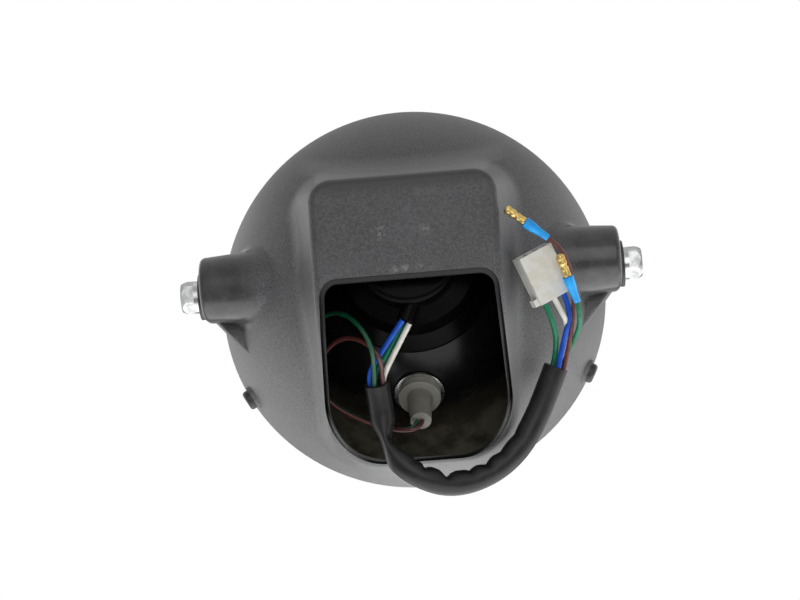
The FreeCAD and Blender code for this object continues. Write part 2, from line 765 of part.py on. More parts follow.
def blade_box(index, clearance, length):
    """One blade terminal: upright ones left and right, a level one at the top."""
    start = bulb_flange_back + bulb_block
    width = blade_width + 2 * clearance
    thick = blade_thickness + 2 * clearance
    along_z = index < 2
    size_x, size_z = (thick, width) if along_z else (width, thick)
    x = (-blade_offset, blade_offset, 0.0)[index]
    z = (0.0, 0.0, blade_offset)[index]
    return Part.makeBox(size_x, length, size_z,
                        Vector(x - size_x / 2, front_edge_y - start - length, z - size_z / 2))


def make_bulb_terminals():
    """Three blade terminals behind the main bulb."""
    return [blade_box(i, 0.0, blade_length) for i in range(blade_count)]


def make_bulb_lock_ring():
    """Notched ring that holds the bulb's flange on the reflector's neck."""
    ring = turned([(lock_ring_inner, bulb_flange_back), (lock_ring_radius, bulb_flange_back),
                   (lock_ring_radius, bulb_flange_back + lock_ring),
                   (lock_ring_inner, bulb_flange_back + lock_ring)])
    notch = lock_ring_radius - lock_ring_inner
    for i in range(lock_notch_count):
        angle = math.radians(lock_notch_angle + i * 360.0 / lock_notch_count)
        centre = at(lock_ring_radius * math.cos(angle), bulb_flange_back,
                    lock_ring_radius * math.sin(angle))
        ring = ring.cut(Part.makeCylinder(notch / 2, lock_ring, centre, -forward))
    return ring


def make_bulb_plug():
    """Plug on the bulb's blades, inside the boot."""
    start = bulb_flange_back + bulb_block + plug_gap
    body = Part.makeCylinder(plug_radius, plug_length, at(0, start, 0), -forward)
    body = body.makeFillet(plug_gap, [edge for edge in body.Edges
                                      if edge.BoundBox.YMin < front_edge_y - start - plug_length + 0.01
                                      and edge.BoundBox.YLength < 0.01])
    for i in range(blade_count):
        body = body.cut(blade_box(i, blade_clearance, blade_length + blade_clearance))
    return body


def make_dust_boot():
    """Stepped rubber boot over the bulb's plug, with a spout for its wires."""
    seat = boot_base_radius - boot_wall
    base = mirror_back(boot_base_radius) + boot_seat_gap
    inner_base = mirror_back(seat) + boot_seat_gap
    lip = inner_base + boot_wall
    step = mirror_back(boot_waist_radius) + boot_seat_gap + 2 * boot_wall
    crown = boot_end - boot_end_round
    corner = boot_end_radius - boot_end_round
    arc = boot_end_round * math.sqrt(0.5)
    boot = turned([
        (boot_base_radius, base), (boot_base_radius, lip), (boot_waist_radius + boot_wall, step),
        (boot_waist_radius, (step + crown) / 2), (boot_end_radius, (step + crown) / 2 + boot_wall),
        (boot_end_radius, crown), ((corner + arc, crown + arc), (corner, boot_end)), (0.0, boot_end),
        (0.0, boot_end - boot_wall), (boot_end_radius - boot_wall, boot_end - boot_wall),
        (boot_end_radius - boot_wall, (step + crown) / 2),
        (boot_waist_radius - boot_wall, (step + crown) / 2 - boot_wall),
        (boot_waist_radius, step - boot_wall), (seat, inner_base)])
    return boot.fuse(spout_solid()).removeSplitter()


def spout_ends():
    """Where the boot's spout starts inside it and where it ends."""
    return [at(x, boot_end + behind, z) for x, behind, z in (spout_start, spout_end)]


def spout_solid():
    """The boot's wire spout, trimmed to what stands outside the boot's hollow."""
    spout = rod(*spout_ends(), spout_radius)
    hollow = Part.makeCylinder(boot_end_radius - boot_wall / 2, boot_end - neck_end,
                               at(0, neck_end, 0), -forward)
    return spout.cut(hollow)


def parking_rod(start, end, radius):
    """A round bar on the parking lamp's line, between two distances from the reflector."""
    place, out = parking_frame()
    return rod(place + out * start, place + out * end, radius)


def make_parking_ring():
    """Steel ring on the reflector that the parking lamp's holder grips."""
    ring = parking_rod(parking_fit, parking_fit + parking_ring, parking_ring_radius)
    return ring.cut(parking_rod(0.0, far, parking_hole))


def make_parking_holder():
    """Rubber holder with a flange and a stem for the parking lamp's wires."""
    start = parking_fit + parking_ring
    flange = parking_rod(start, start + parking_flange, parking_flange_radius)
    stem_end = start + parking_flange + parking_stem
    place, out = parking_frame()
    stem = Part.makeCone(parking_stem_radius, parking_stem_tip_radius, parking_stem,
                         place + out * (start + parking_flange), out)
    nose = parking_rod(-reflector_sheet, start, parking_hole - parking_fit)
    return flange.fuse([stem, nose]).removeSplitter(), place + out * stem_end, out


def make_parking_bulb():
    """Small capless bulb in front of the holder."""
    bulb = parking_rod(-reflector_sheet - parking_bulb_length, -reflector_sheet, parking_bulb_radius)
    place, out = parking_frame()
    tip = place - out * (reflector_sheet + parking_bulb_length)
    edges = [edge for edge in bulb.Edges
             if (edge.CenterOfMass - tip).Length < 0.1]
    return bulb.makeFillet(parking_bulb_radius - parking_bulb_tip, edges)


def cord(name, points, diameter):
    """A round cord along straight runs and tangent arcs, as large as the runs allow.

    The route, the radii and the tube's volume against section times length are printed.
    """
    edges = []
    radii = []
    place = points[0]
    for before, corner, after in zip(points, points[1:], points[2:]):
        inward = corner - before
        outward = after - corner
        turn = inward.getAngle(outward)
        setback = cord_bend_share * min(inward.Length, outward.Length)
        radius = setback / math.tan(turn / 2)
        start = corner - inward.normalize() * setback
        end = corner + outward.normalize() * setback
        to_centre = ((start + end) * 0.5 - corner).normalize()
        middle = corner + to_centre * (radius / math.cos(turn / 2) - radius)
        edges.append(Part.LineSegment(place, start).toShape())
        edges.append(Part.Arc(start, middle, end).toShape())
        radii.append(round(radius, 1))
        place = end
    edges.append(Part.LineSegment(place, points[-1]).toShape())
    path = Part.Wire(edges)
    ring = Part.Wire(Part.makeCircle(diameter / 2, points[0], points[1] - points[0]))
    tube = path.makePipeShell([ring], True, True)
    share = tube.Volume / (math.pi * diameter ** 2 / 4 * path.Length)
    print(f"{name}: {path.Length:.1f} mm, radii {radii}, volume share {share:.4f}")
    print("   ", [tuple(round(c, 2) for c in p) for p in points])
    return tube


class Port:
    """A place where a wire meets a face, with the direction in which it leaves that face."""

    def __init__(self, place, direction):
        self.place = place
        self.direction = direction

    def route(self, lead, middle, other, other_lead):
        """Points from this port to another, leaving both faces squarely."""
        return ([self.place, self.place + self.direction * lead] + [at(*p) for p in middle]
                + [other.place + other.direction * other_lead, other.place])


def ring_of_ports(centre, direction, radius, count, first_angle):
    """Ports spread round a ring on a flat round end."""
    along = Vector(direction).normalize()
    sideways = (Vector(1, 0, 0) - along * along.x).normalize()
    backward = Vector(0, -1, 0)
    backward = (backward - along * along.dot(backward)
                - sideways * sideways.dot(backward)).normalize()
    ports = []
    for i in range(count):
        angle = math.radians(first_angle + i * 360.0 / count)
        offset = sideways * (radius * math.cos(angle)) + backward * (radius * math.sin(angle))
        ports.append(Port(centre + offset, along))
    return ports


def connector_frame():
    """Placement of the connector: x across the ways, y towards the bowl, z to its mouth."""
    along = vector_of(connector_along)
    inward = vector_of(connector_facing) * -1
    return FreeCAD.Placement(at(*connector_place),
                             FreeCAD.Rotation(inward.cross(along), inward, along, "ZYX"))


def vector_of(step):
    """A unit direction given as (x, depth, z)."""
    return Vector(step[0], -step[1], step[2]).normalize()


def way_offset(index):
    """Sideways place of one way of the connector."""
    return (index - (connector_ways - 1) / 2) * connector_pitch


def make_connector_block():
    """Nylon connector with three open ways, a latch on one side and a foot on the other."""
    half_width = connector_width / 2
    half_height = connector_height / 2
    block = Part.makeBox(connector_width, connector_height, connector_length,
                         Vector(-half_width, -half_height, 0))
    long_edges = [edge for edge in block.Edges if edge.BoundBox.ZLength > connector_wall]
    block = block.makeFillet(connector_round, long_edges)
    latch = face_of([Vector(half_width - connector_round, -latch_width / 2, 0),
                     Vector(half_width + latch_height, -latch_width / 2, latch_ramp),
                     Vector(half_width + latch_height, -latch_width / 2, latch_length),
                     Vector(half_width - connector_round, -latch_width / 2, latch_length)])
    foot = Part.makeBox(foot_height + connector_round, latch_width, foot_length,
                        Vector(-half_width - foot_height, -latch_width / 2, 0))
    block = block.fuse([latch.extrude(Vector(0, latch_width, 0)), foot])
    room = connector_pitch - connector_wall
    for i in range(connector_ways):
        hole = Part.makeBox(room, connector_height - 2 * connector_wall, connector_length,
                            Vector(way_offset(i) - room / 2, connector_wall - half_height,
                                   connector_floor))
        block = block.cut(hole)
    block.Placement = connector_frame()
    return block


def make_connector_pins():
    """Brass pins standing in the connector's ways."""
    pins = []
    for i in range(connector_ways):
        pin = Part.makeBox(pin_width, pin_thickness, pin_length,
                           Vector(way_offset(i) - pin_width / 2, -pin_thickness / 2,
                                  connector_floor))
        pin.Placement = connector_frame()
        pins.append(pin)
    return pins


def connector_ports():
    """Places on the connector's back where its wires go in."""
    frame = connector_frame()
    back = frame.Rotation.multVec(Vector(0, 0, -1))
    return [Port(frame.multVec(Vector(way_offset(i), 0, 0)), back) for i in range(connector_ways)]


def make_bullet(root, tip):
    """Brass bullet terminal and its tapered sleeve, on the line from the wire to the tip."""
    start = at(*root)
    along = (at(*tip) - start).normalize()
    sleeve_end = start + along * bullet_sleeve_length
    bullet_end = sleeve_end + along * bullet_length
    head = bullet_end - along * bullet_head_length
    neck = head - along * bullet_neck_length
    tail = sleeve_end - along * bullet_tail_length
    brass = rod(tail, neck, bullet_radius).fuse([
        rod(neck, head, bullet_neck_radius), rod(head, bullet_end, bullet_radius)])
    brass = brass.cut(rod(neck, bullet_end, bullet_bore)).removeSplitter()
    nose = [edge for edge in brass.Edges if (edge.CenterOfMass - bullet_end).Length < 0.01
            and edge.Length > 5 * bullet_radius]
    brass = brass.makeChamfer(bullet_neck_length / 2, nose)
    sleeve = Part.makeCone(bullet_sleeve_tail_radius, bullet_sleeve_radius, bullet_sleeve_length,
                           start, along)
    return brass, sleeve.cut(rod(tail, sleeve_end, bullet_radius)), Port(start, along * -1)


def make_loom(stem_end, stem_direction):
    """The loom's sleeve, wires and terminals by node name."""
    sleeve_points = [at(*p) for p in sleeve_route]
    inner = ring_of_ports(sleeve_points[0], sleeve_points[0] - sleeve_points[1], sleeve_ring,
                          sleeve_wires, sleeve_first_angle)
    outer = ring_of_ports(sleeve_points[-1], sleeve_points[-1] - sleeve_points[-2], sleeve_ring,
                          sleeve_wires, sleeve_first_angle)
    spout_inner, spout_outer = spout_ends()
    spout = ring_of_ports(spout_outer, spout_outer - spout_inner, spout_ring,
                          connector_ways, 0.0)
    stem = [Port(stem_end + Vector(side * stem_pitch / 2, 0, 0), stem_direction)
            for side in (-1, 1)]
    block = connector_ports()
    loom = {}
    first_pin, first_sleeve, first_port = make_bullet(bullet_one_root, bullet_one_tip)
    second_pin, second_sleeve, second_port = make_bullet(bullet_two_root, bullet_two_tip)
    loom["bullet_pin_1"] = first_pin
    loom["bullet_pin_2"] = second_pin
    loom["bullet_sleeve_1"] = first_sleeve
    loom["bullet_sleeve_2"] = second_sleeve
    loom["harness_sleeve"] = cord("harness_sleeve", sleeve_points, sleeve_diameter)
    routes = {
        "lead_white": spout[0].route(lead_white_lead, [], inner[4], sleeve_lead),
        "lead_blue": spout[1].route(wire_lead, [], inner[2], sleeve_lead),
        "lead_green": spout[2].route(wire_lead, [], inner[3], sleeve_lead),
        "tail_green": outer[2].route(wire_lead, [], block[0], wire_lead),
        "tail_white": outer[3].route(wire_lead, [], block[1], wire_lead),
        "tail_blue": outer[1].route(wire_lead, tail_blue_middle, block[2], wire_lead)}
    thin_routes = {
        "lamp_brown": inner[0].route(thin_wire_lead, lamp_brown_middle, stem[0], lamp_brown_lead),
        "lamp_green": inner[1].route(thin_wire_lead, lamp_green_middle, stem[1], lamp_green_lead),
        "tail_brown": outer[0].route(thin_wire_lead, tail_brown_middle, first_port, bullet_lead),
        "tail_thin_green": outer[4].route(thin_wire_lead, tail_thin_green_middle, second_port,
                                          bullet_lead)}
    for name, points in routes.items():
        loom[name] = cord(name, points, wire_diameter)
    for name, points in thin_routes.items():
        loom[name] = cord(name, points, thin_wire_diameter)
    return loom


def save(name, shape):
    """Writes one node, from one solid or a group of separate solids."""
    solids = shape if isinstance(shape, list) else [shape]
    solids = [piece for item in solids for piece in item.Solids]
    group = solids[0] if len(solids) == 1 else Part.makeCompound(solids)
    assert group.isValid(), name
    group.exportStep(f"parts/{name}.step")
    print(f"{name}: {len(solids)} solid(s), {group.Volume / 1000:.2f} cm3")


def main():
    """Builds every piece and writes it."""
    os.makedirs("parts", exist_ok=True)
    save("housing", make_housing())
    save("boss_inserts", make_boss_inserts())
    save("flat_washers", make_flat_washers())
    save("spring_washers", make_spring_washers())
    save("pivot_bolts", make_pivot_bolts())
    save("front_rim", make_front_rim())
    save("rim_screws", make_rim_screws())
    save("rim_nuts", make_rim_nuts())
    save("lens", make_lens())
    save("lens_gasket", make_lens_gasket())
    save("reflector", make_reflector())
    save("reflector_clips", make_reflector_clips())
    save("bulb_glass", make_bulb_glass())
    save("bulb_base", make_bulb_base())
    save("bulb_terminals", make_bulb_terminals())
    save("bulb_lock_ring", make_bulb_lock_ring())
    save("bulb_plug", make_bulb_plug())
    save("dust_boot", make_dust_boot())
    save("parking_ring", make_parking_ring())
    holder, stem_end, stem_direction = make_parking_holder()
    save("parking_holder", holder)
    save("parking_bulb", make_parking_bulb())
    save("connector_block", make_connector_block())
    save("connector_pins", make_connector_pins())
    for name, shape in make_loom(stem_end, stem_direction).items():
        save(name, shape)


main()
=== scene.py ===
"""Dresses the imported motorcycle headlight: finishes, loom, studio and camera.

Lengths are metres in the part's own frame: +X right seen from behind, +Y along the beam, +Z up.
Loom routes are written in millimetres, as in the part's source, and scaled once.
"""
import logging
import math
from dataclasses import dataclass, field
from enum import Enum
from typing import Any, Callable, Union

import bpy
from mathutils import Matrix, Vector


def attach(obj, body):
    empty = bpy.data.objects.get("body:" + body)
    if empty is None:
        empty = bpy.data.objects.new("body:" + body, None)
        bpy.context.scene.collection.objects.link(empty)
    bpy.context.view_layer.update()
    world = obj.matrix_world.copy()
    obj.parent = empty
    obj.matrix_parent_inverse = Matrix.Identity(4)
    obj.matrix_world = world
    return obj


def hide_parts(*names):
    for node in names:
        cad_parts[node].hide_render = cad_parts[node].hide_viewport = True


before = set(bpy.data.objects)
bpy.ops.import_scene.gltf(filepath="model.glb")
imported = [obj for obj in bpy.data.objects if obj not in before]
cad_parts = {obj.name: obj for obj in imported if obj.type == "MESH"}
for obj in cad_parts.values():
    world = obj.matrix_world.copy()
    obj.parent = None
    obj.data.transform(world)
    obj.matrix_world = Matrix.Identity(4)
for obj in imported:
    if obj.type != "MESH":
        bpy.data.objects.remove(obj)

logging.basicConfig(level=logging.INFO, format="%(message)s")
log = logging.getLogger("headlight")

MM = 0.001
BODY = "root"
CURVE_STEPS = 16
CURVE_ORDER = 3
NOISE_MIDDLE = 0.5
# Numbers of the colour sockets of a Mix node, whose sockets share their names.
MIX_FIRST = 6
MIX_SECOND = 7
MIX_RESULT = 2
Colour = tuple[float, float, float, float]
Point = tuple[float, float, float]
Span = tuple[float, float]
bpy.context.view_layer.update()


class Sock:
    """An output socket that can be used in arithmetic."""

    def __init__(self, sheet: "NodeSheet", socket: bpy.types.NodeSocket) -> None:
        """Keeps the socket and the sheet that it belongs to."""
        self.sheet = sheet
        self.socket = socket

    def _math(self, operation: str, first: Any, second: Any = None) -> "Sock":
        """Adds one Math node.

        Args:
            operation: Name of the Math node's operation.
            first: Left value.
            second: Right value, if the operation has one.

        Returns:
            The node's result.
        """
        values = {0: first} if second is None else {0: first, 1: second}
        return self.sheet.add("ShaderNodeMath", {"operation": operation}, values)

    def __add__(self, other: Any) -> "Sock":
        """Sum."""
        return self._math("ADD", self, other)

    def __radd__(self, other: Any) -> "Sock":
        """Sum with a number on the left."""
        return self._math("ADD", other, self)

    def __sub__(self, other: Any) -> "Sock":
        """Difference."""
        return self._math("SUBTRACT", self, other)

    def __rsub__(self, other: Any) -> "Sock":
        """Difference with a number on the left."""
        return self._math("SUBTRACT", other, self)

    def __mul__(self, other: Any) -> "Sock":
        """Product."""
        return self._math("MULTIPLY", self, other)

    def __rmul__(self, other: Any) -> "Sock":
        """Product with a number on the left."""
        return self._math("MULTIPLY", other, self)

    def __truediv__(self, other: Any) -> "Sock":
        """Quotient."""
        return self._math("DIVIDE", self, other)

    def __rtruediv__(self, other: Any) -> "Sock":
        """Quotient with a number on the left."""
        return self._math("DIVIDE", other, self)

    def root(self) -> "Sock":
        """Square root of this value."""
        return self._math("SQRT", self)

    def size(self) -> "Sock":
        """This value without its sign."""
        return self._math("ABSOLUTE", self)

    def least(self, other: Any) -> "Sock":
        """The smaller of two values."""
        return self._math("MINIMUM", self, other)

    def most(self, other: Any) -> "Sock":
        """The larger of two values."""
        return self._math("MAXIMUM", self, other)

    def sway(self, spread: float) -> "Sock":
        """A noise as a change to both sides of nought."""
        return (self - NOISE_MIDDLE) * spread

    def angle_over(self, other: "Sock") -> "Sock":
        """Angle whose tangent is this value over another."""
        return self._math("ARCTAN2", self, other)

    def sine(self) -> "Sock":
        """Sine of this value."""
        return self._math("SINE", self)

    def cosine(self) -> "Sock":
        """Cosine of this value."""
        return self._math("COSINE", self)

    def above(self, low: float, high: float) -> "Sock":
        """A soft step.

        Args:
            low: Value where the step starts.
            high: Value where it is full.

        Returns:
            0 below low, 1 above high and a smooth rise between. low may be the larger one.
        """
        values = {"Value": self, "From Min": low, "From Max": high}
        return self.sheet.add("ShaderNodeMapRange", {"interpolation_type": "SMOOTHSTEP"}, values)


class NodeSheet:
    """A shader node tree, with one method that adds any node."""

    def __init__(self, tree: bpy.types.NodeTree) -> None:
        """Keeps the tree."""
        self.tree = tree

    def add(self, kind: str, settings: dict[str, Any], inputs: dict[Any, Any],
            output: Union[int, str] = 0) -> Sock:
        """Adds a node.

        Args:
            kind: The node's type.
            settings: Its properties, set first.
            inputs: Values or links by socket name or number.
            output: Name or number of the output to return.

        Returns:
            The asked output.
        """
        node = self.tree.nodes.new(kind)
        for key, value in settings.items():
            setattr(node, key, value)
        for key, value in inputs.items():
            self.feed(node.inputs[key], value)
        return Sock(self, node.outputs[output])

    def feed(self, socket: bpy.types.NodeSocket, value: Any) -> None:
        """Links a Sock to an input, or writes a plain value on it.

        Args:
            socket: The input.
            value: The Sock or the value.
        """
        if isinstance(value, Sock):
            self.tree.links.new(value.socket, socket)
        else:
            socket.default_value = value

    def split(self, vector: Sock) -> tuple[Sock, Sock, Sock]:
        """The three parts of a vector."""
        node = self.add("ShaderNodeSeparateXYZ", {}, {0: vector}).socket.node
        return tuple(Sock(self, socket) for socket in node.outputs)


class Recipe(NodeSheet):
    """A material with its shader, and patterns on its surface."""

    def __init__(self, name: str) -> None:
        """Makes a new material and keeps its shader.

        Args:
            name: Name of the material.
        """
        self.material = bpy.data.materials.new(name)
        self.material.use_nodes = True
        super().__init__(self.material.node_tree)
        self.shader = self.tree.nodes["Principled BSDF"]

    def place(self) -> Sock:
        """Object coordinates."""
        return self.add("ShaderNodeTexCoord", {}, {}, "Object")

    def noise(self, scale: float, detail: float = 2.0, rough: float = 0.5) -> Sock:
        """Noise over the surface.

        Args:
            scale: Features to the metre.
            detail: Octaves.
            rough: Weight of the finer octaves.

        Returns:
            A value round 0.5.
        """
        values = {"Vector": self.place(), "Scale": scale, "Detail": detail, "Roughness": rough}
        return self.add("ShaderNodeTexNoise", {}, values, "Fac")

    def blend(self, factor: Union[Sock, float], first: Any, second: Any) -> Sock:
        """A colour between two colours, by the share of the second."""
        inputs = {"Factor": factor, MIX_FIRST: first, MIX_SECOND: second}
        return self.add("ShaderNodeMix", {"data_type": "RGBA"}, inputs, MIX_RESULT)

    def bump(self, height: Sock, strength: float, depth: float) -> Sock:
        """A bumped normal."""
        values = {"Height": height, "Strength": strength, "Distance": depth}
        return self.add("ShaderNodeBump", {}, values)

    def distance_to(self, centre: Point) -> Sock:
        """Distance of the surface from a point."""
        values = {0: self.place(), 1: centre}
        return self.add("ShaderNodeVectorMath", {"operation": "DISTANCE"}, values, "Value")

    def done(self, **inputs: Any) -> bpy.types.Material:
        """Feeds the shader and returns the material.

        Args:
            inputs: Shader sockets by name, with underscores for spaces.

        Returns:
            The finished material.
        """
        for key, value in inputs.items():
            self.feed(self.shader.inputs[key.replace("_", " ")], value)
        return self.material


def grey(value: float) -> Colour:
    """A neutral colour."""
    return (value, value, value, 1.0)


@dataclass(frozen=True)
class GrainedPlastic:
    """The bowl: grained dark plastic outside, plain black inside that is darkened further as painted
    shade, smoother on the bosses.

    The collar's rear face, bend and rounded sides tell the inside from the outside.
    """

    name: str
    colour: Colour = (0.040, 0.040, 0.042, 1.0)
    rubbed: Colour = (0.117, 0.119, 0.125, 1.0)
    # Pale colour of painted light: from below, and on the collar's roof.
    painted_light_pale: Colour = (0.175, 0.176, 0.178, 1.0)
    boss_colour: Colour = (0.030, 0.030, 0.031, 1.0)
    boss_rubbed: Colour = (0.058, 0.059, 0.060, 1.0)
    # Black moulding of the inside, darkened further as painted shade.
    inside: Colour = (0.007, 0.007, 0.007, 1.0)
    scuffed: Colour = (0.230, 0.230, 0.235, 1.0)
    # Darker colour of painted shade along the panel's top edge and sides.
    painted_edge_shade: Colour = (0.034, 0.034, 0.035, 1.0)
    roughness: float = 0.46
    grain: float = 1250.0
    grain_depth: float = 0.00022
    grain_bump: float = 0.8
    grain_spread: float = 0.16
    patches: float = 28.0
    patch_spread: float = 0.12
    patch_share: float = 0.22
    tone_span: Span = (0.33, 0.67)
    streaks: float = 520.0
    streak_span: Span = (0.45, 0.62)
    smudges: float = 115.0
    smudge_span: Span = (0.37, 0.64)
    # How far each layer covers what lies under it, and what the grain adds to that.
    low_light_share: float = 0.40
    low_light_grain: float = 0.40
    roof_highlight_share: float = 0.55
    roof_highlight_grain: float = 0.35
    edge_shade_share: float = 0.8
    edge_side_shade_share: float = 0.35
    scuff_share: float = 0.8
    boss_share: float = 0.85
    boss_smoothing: float = 0.75
    boss_gloss: float = 0.20
    # The collar's shape.
    panel_y: float = -0.058
    bend_radius: float = 0.060
    bend_angle: float = math.radians(38.0)
    half_width: float = 0.0393
    flare: float = 0.30
    top: float = 0.031
    roof_slope: float = 0.44
    bottom: float = -0.0843
    corner: float = 0.026
    corner_growth: float = 0.33
    # Where each mask starts and where it is full.
    hollow_depth: Span = (0.0006, 0.0009)
    hollow_side: Span = (-0.0007, -0.0011)
    low_light_height: Span = (-0.004, -0.046)
    roof_under: Span = (-0.0022, -0.0008)
    roof_over: Span = (0.0068, 0.0024)
    roof_depth: Span = (0.0010, 0.0060)
    roof_side: Span = (0.050, 0.036)
    edge_depth: Span = (0.0034, 0.0016)
    edge_low: Span = (-0.002, 0.004)
    edge_top: Span = (0.0225, 0.0285)
    edge_side: Span = (0.0310, 0.0365)
    boss_end: Span = (0.064, 0.074)
    boss_round: Span = (0.0205, 0.0175)
    boss_y: float = -0.004
    boss_z: float = 0.0005
    boss_squash: float = 0.62
    # Centres and radii of the light scuffs on the panel.
    scuffs: tuple[tuple[Point, float], ...] = (
        ((-0.0098, -0.058, 0.0068), 0.0054), ((0.0081, -0.058, 0.0062), 0.0046),
        ((-0.0055, -0.0572, -0.0098), 0.0030), ((-0.0009, -0.0572, -0.0093), 0.0034),
        ((0.0053, -0.0572, -0.0098), 0.0030))

    def below_face(self, recipe: Recipe) -> Sock:
        """How far a place lies in front of the collar's rear face.

        Args:
            recipe: The material that is being made.

        Returns:
            The distance.
        """
        _, y, z = recipe.split(recipe.place())
        back = self.panel_y + self.bend_radius - y
        turn = (0.0 - z).angle_over(back).most(0.0).least(self.bend_angle)
        return self.bend_radius - (back * turn.cosine() - z * turn.sine())

    def sunk(self, recipe: Recipe) -> Sock:
        """How much of a place lies inside the collar or the bowl.

        Args:
            recipe: The material that is being made.

        Returns:
            0 outside, 1 inside.
        """
        x, _, z = recipe.split(recipe.place())
        depth = self.below_face(recipe)
        middle = (self.top + self.bottom) / 2
        half_height = (self.top - self.bottom) / 2
        corner = self.corner + self.corner_growth * depth
        across = (x.size() - (self.half_width + self.flare * depth) + corner).most(0.0)
        upright = ((z - middle).size() - half_height + corner).most(0.0)
        outside = (across * across + upright * upright).root() - corner
        return depth.above(*self.hollow_depth) * outside.above(*self.hollow_side)

    def dust_and_low_light(self, recipe: Recipe) -> Sock:
        """How much painted light from below a place gets, growing downwards."""
        _, _, z = recipe.split(recipe.place())
        return z.above(*self.low_light_height)

    def roof_highlight(self, recipe: Recipe) -> Sock:
        """How much painted highlight a place gets on the collar's roof and on the crease above it.

        Args:
            recipe: The material that is being made.

        Returns:
            0 elsewhere, 1 on the roof.
        """
        x, _, z = recipe.split(recipe.place())
        depth = self.below_face(recipe)
        over = z - (self.top + self.roof_slope * depth)
        band = over.above(*self.roof_under) * over.above(*self.roof_over)
        return band * depth.above(*self.roof_depth) * x.size().above(*self.roof_side)

    def panel_edge_shade(self, recipe: Recipe) -> Sock:
        """How much painted shade a place gets along the panel's edge.

        Args:
            recipe: The material that is being made.

        Returns:
            0 elsewhere, 1 along the panel's top and less along its sides.
        """
        x, _, z = recipe.split(recipe.place())
        face = self.below_face(recipe).above(*self.edge_depth) * z.above(*self.edge_low)
        sides = x.size().above(*self.edge_side) * self.edge_side_shade_share
        return face * z.above(*self.edge_top).most(sides)

    def on_boss(self, recipe: Recipe) -> Sock:
        """How much of a place lies on one of the bosses.

        Args:
            recipe: The material that is being made.

        Returns:
            0 elsewhere, 1 on a boss.
        """
        x, y, z = recipe.split(recipe.place())
        level = z - self.boss_z
        behind = y - self.boss_y
        from_line = (level * level + behind * behind * self.boss_squash).root()
        return x.size().above(*self.boss_end) * from_line.above(*self.boss_round)

    def build(self) -> bpy.types.Material:
        """Makes the material: grain and painted light from below first, then the painted roof
        highlight, painted edge shade, scuffs, bosses and the inside with its painted shade.

        Returns:
            The material.
        """
        recipe = Recipe(self.name)
        grain = recipe.noise(self.grain, detail=3.0, rough=0.62)
        clouds = recipe.noise(self.patches, detail=3.0, rough=0.55)
        boss = self.on_boss(recipe)
        sunk = self.sunk(recipe)
        grainy = (1.0 - boss * self.boss_smoothing) * (1.0 - sunk)
        tone = (clouds * self.patch_share + grain * (1.0 - self.patch_share)).above(*self.tone_span)
        colour = recipe.blend(tone, self.colour, self.rubbed)
        # Paler towards the bottom: painted light from below.
        dust_and_low_light = self.dust_and_low_light(recipe) * (self.low_light_share + tone * self.low_light_grain)
        colour = recipe.blend(dust_and_low_light, colour, self.painted_light_pale)
        # Painted highlight along the collar's roof and the crease above it.
        roof = self.roof_highlight(recipe) * (self.roof_highlight_share + tone * self.roof_highlight_grain)
        colour = recipe.blend(roof, colour, self.painted_light_pale)
        # Painted shade along the panel's top edge, less along its sides.
        colour = recipe.blend(self.panel_edge_shade(recipe) * self.edge_shade_share, colour, self.painted_edge_shade)
        streaks = recipe.noise(self.streaks, rough=0.6).above(*self.streak_span)
        for centre, radius in self.scuffs:
            spot = recipe.distance_to(centre).above(radius, 0.0) * streaks
            colour = recipe.blend(spot * self.scuff_share, colour, self.scuffed)
        smudges = recipe.noise(self.smudges, detail=4.0, rough=0.62).above(*self.smudge_span)
        smooth = recipe.blend(smudges, self.boss_colour, self.boss_rubbed)
        colour = recipe.blend(boss * self.boss_share, colour, smooth)
        # Inside: black moulding, darkened further as painted shade.
        colour = recipe.blend(sunk, colour, self.inside)
        uneven = clouds.sway(self.patch_spread) + grain.sway(self.grain_spread) * grainy
        return recipe.done(Base_Color=colour,
                           Roughness=self.roughness + uneven - boss * self.boss_gloss,
                           Normal=recipe.bump(grain * grainy, self.grain_bump, self.grain_depth))


@dataclass(frozen=True)
class PlatedMetal:
    """Plated or bare metal with fine scratches and a slightly uneven tone."""

    name: str
    colour: Colour
    dull: Colour
    roughness: float = 0.3
    spread: float = 0.14
    metallic: float = 1.0
    patches: float = 260.0
    bump: float = 0.12
    scratches: float = 1400.0
    scratch_depth: float = 0.00005
    dull_span: Span = (0.36, 0.66)

    def build(self) -> bpy.types.Material:
        """Makes the material.

        Returns:
            The material.
        """
        recipe = Recipe(self.name)
        clouds = recipe.noise(self.patches, detail=3.0, rough=0.6)
        lines = recipe.noise(self.scratches, rough=0.6)
        colour = recipe.blend(clouds.above(*self.dull_span), self.colour, self.dull)
        rough = self.roughness + clouds.sway(self.spread) + lines.sway(self.spread)
        return recipe.done(Base_Color=colour, Roughness=rough, Metallic=self.metallic,
                           Normal=recipe.bump(lines, self.bump, self.scratch_depth))


@dataclass(frozen=True)
class Vinyl:
    """Soft coloured vinyl, as on wires and small sleeves."""

    name: str
    colour: Colour
    shade: Colour
    roughness: float = 0.38
    bump: float = 0.15
    specular: float = 0.5
    spread: float = 0.16
    patches: float = 220.0
    pits: float = 1800.0
    pit_depth: float = 0.00006
    shade_span: Span = (0.35, 0.68)

    def build(self) -> bpy.types.Material:
        """Makes the material.

        Returns:
            The material.
        """
        recipe = Recipe(self.name)
        clouds = recipe.noise(self.patches, detail=3.0, rough=0.6)
        fine = recipe.noise(self.pits)
        colour = recipe.blend(clouds.above(*self.shade_span), self.colour, self.shade)
        rough = self.roughness + clouds.sway(self.spread)
        return recipe.done(Base_Color=colour, Roughness=rough, Specular_IOR_Level=self.specular,
                           Normal=recipe.bump(fine, self.bump, self.pit_depth))


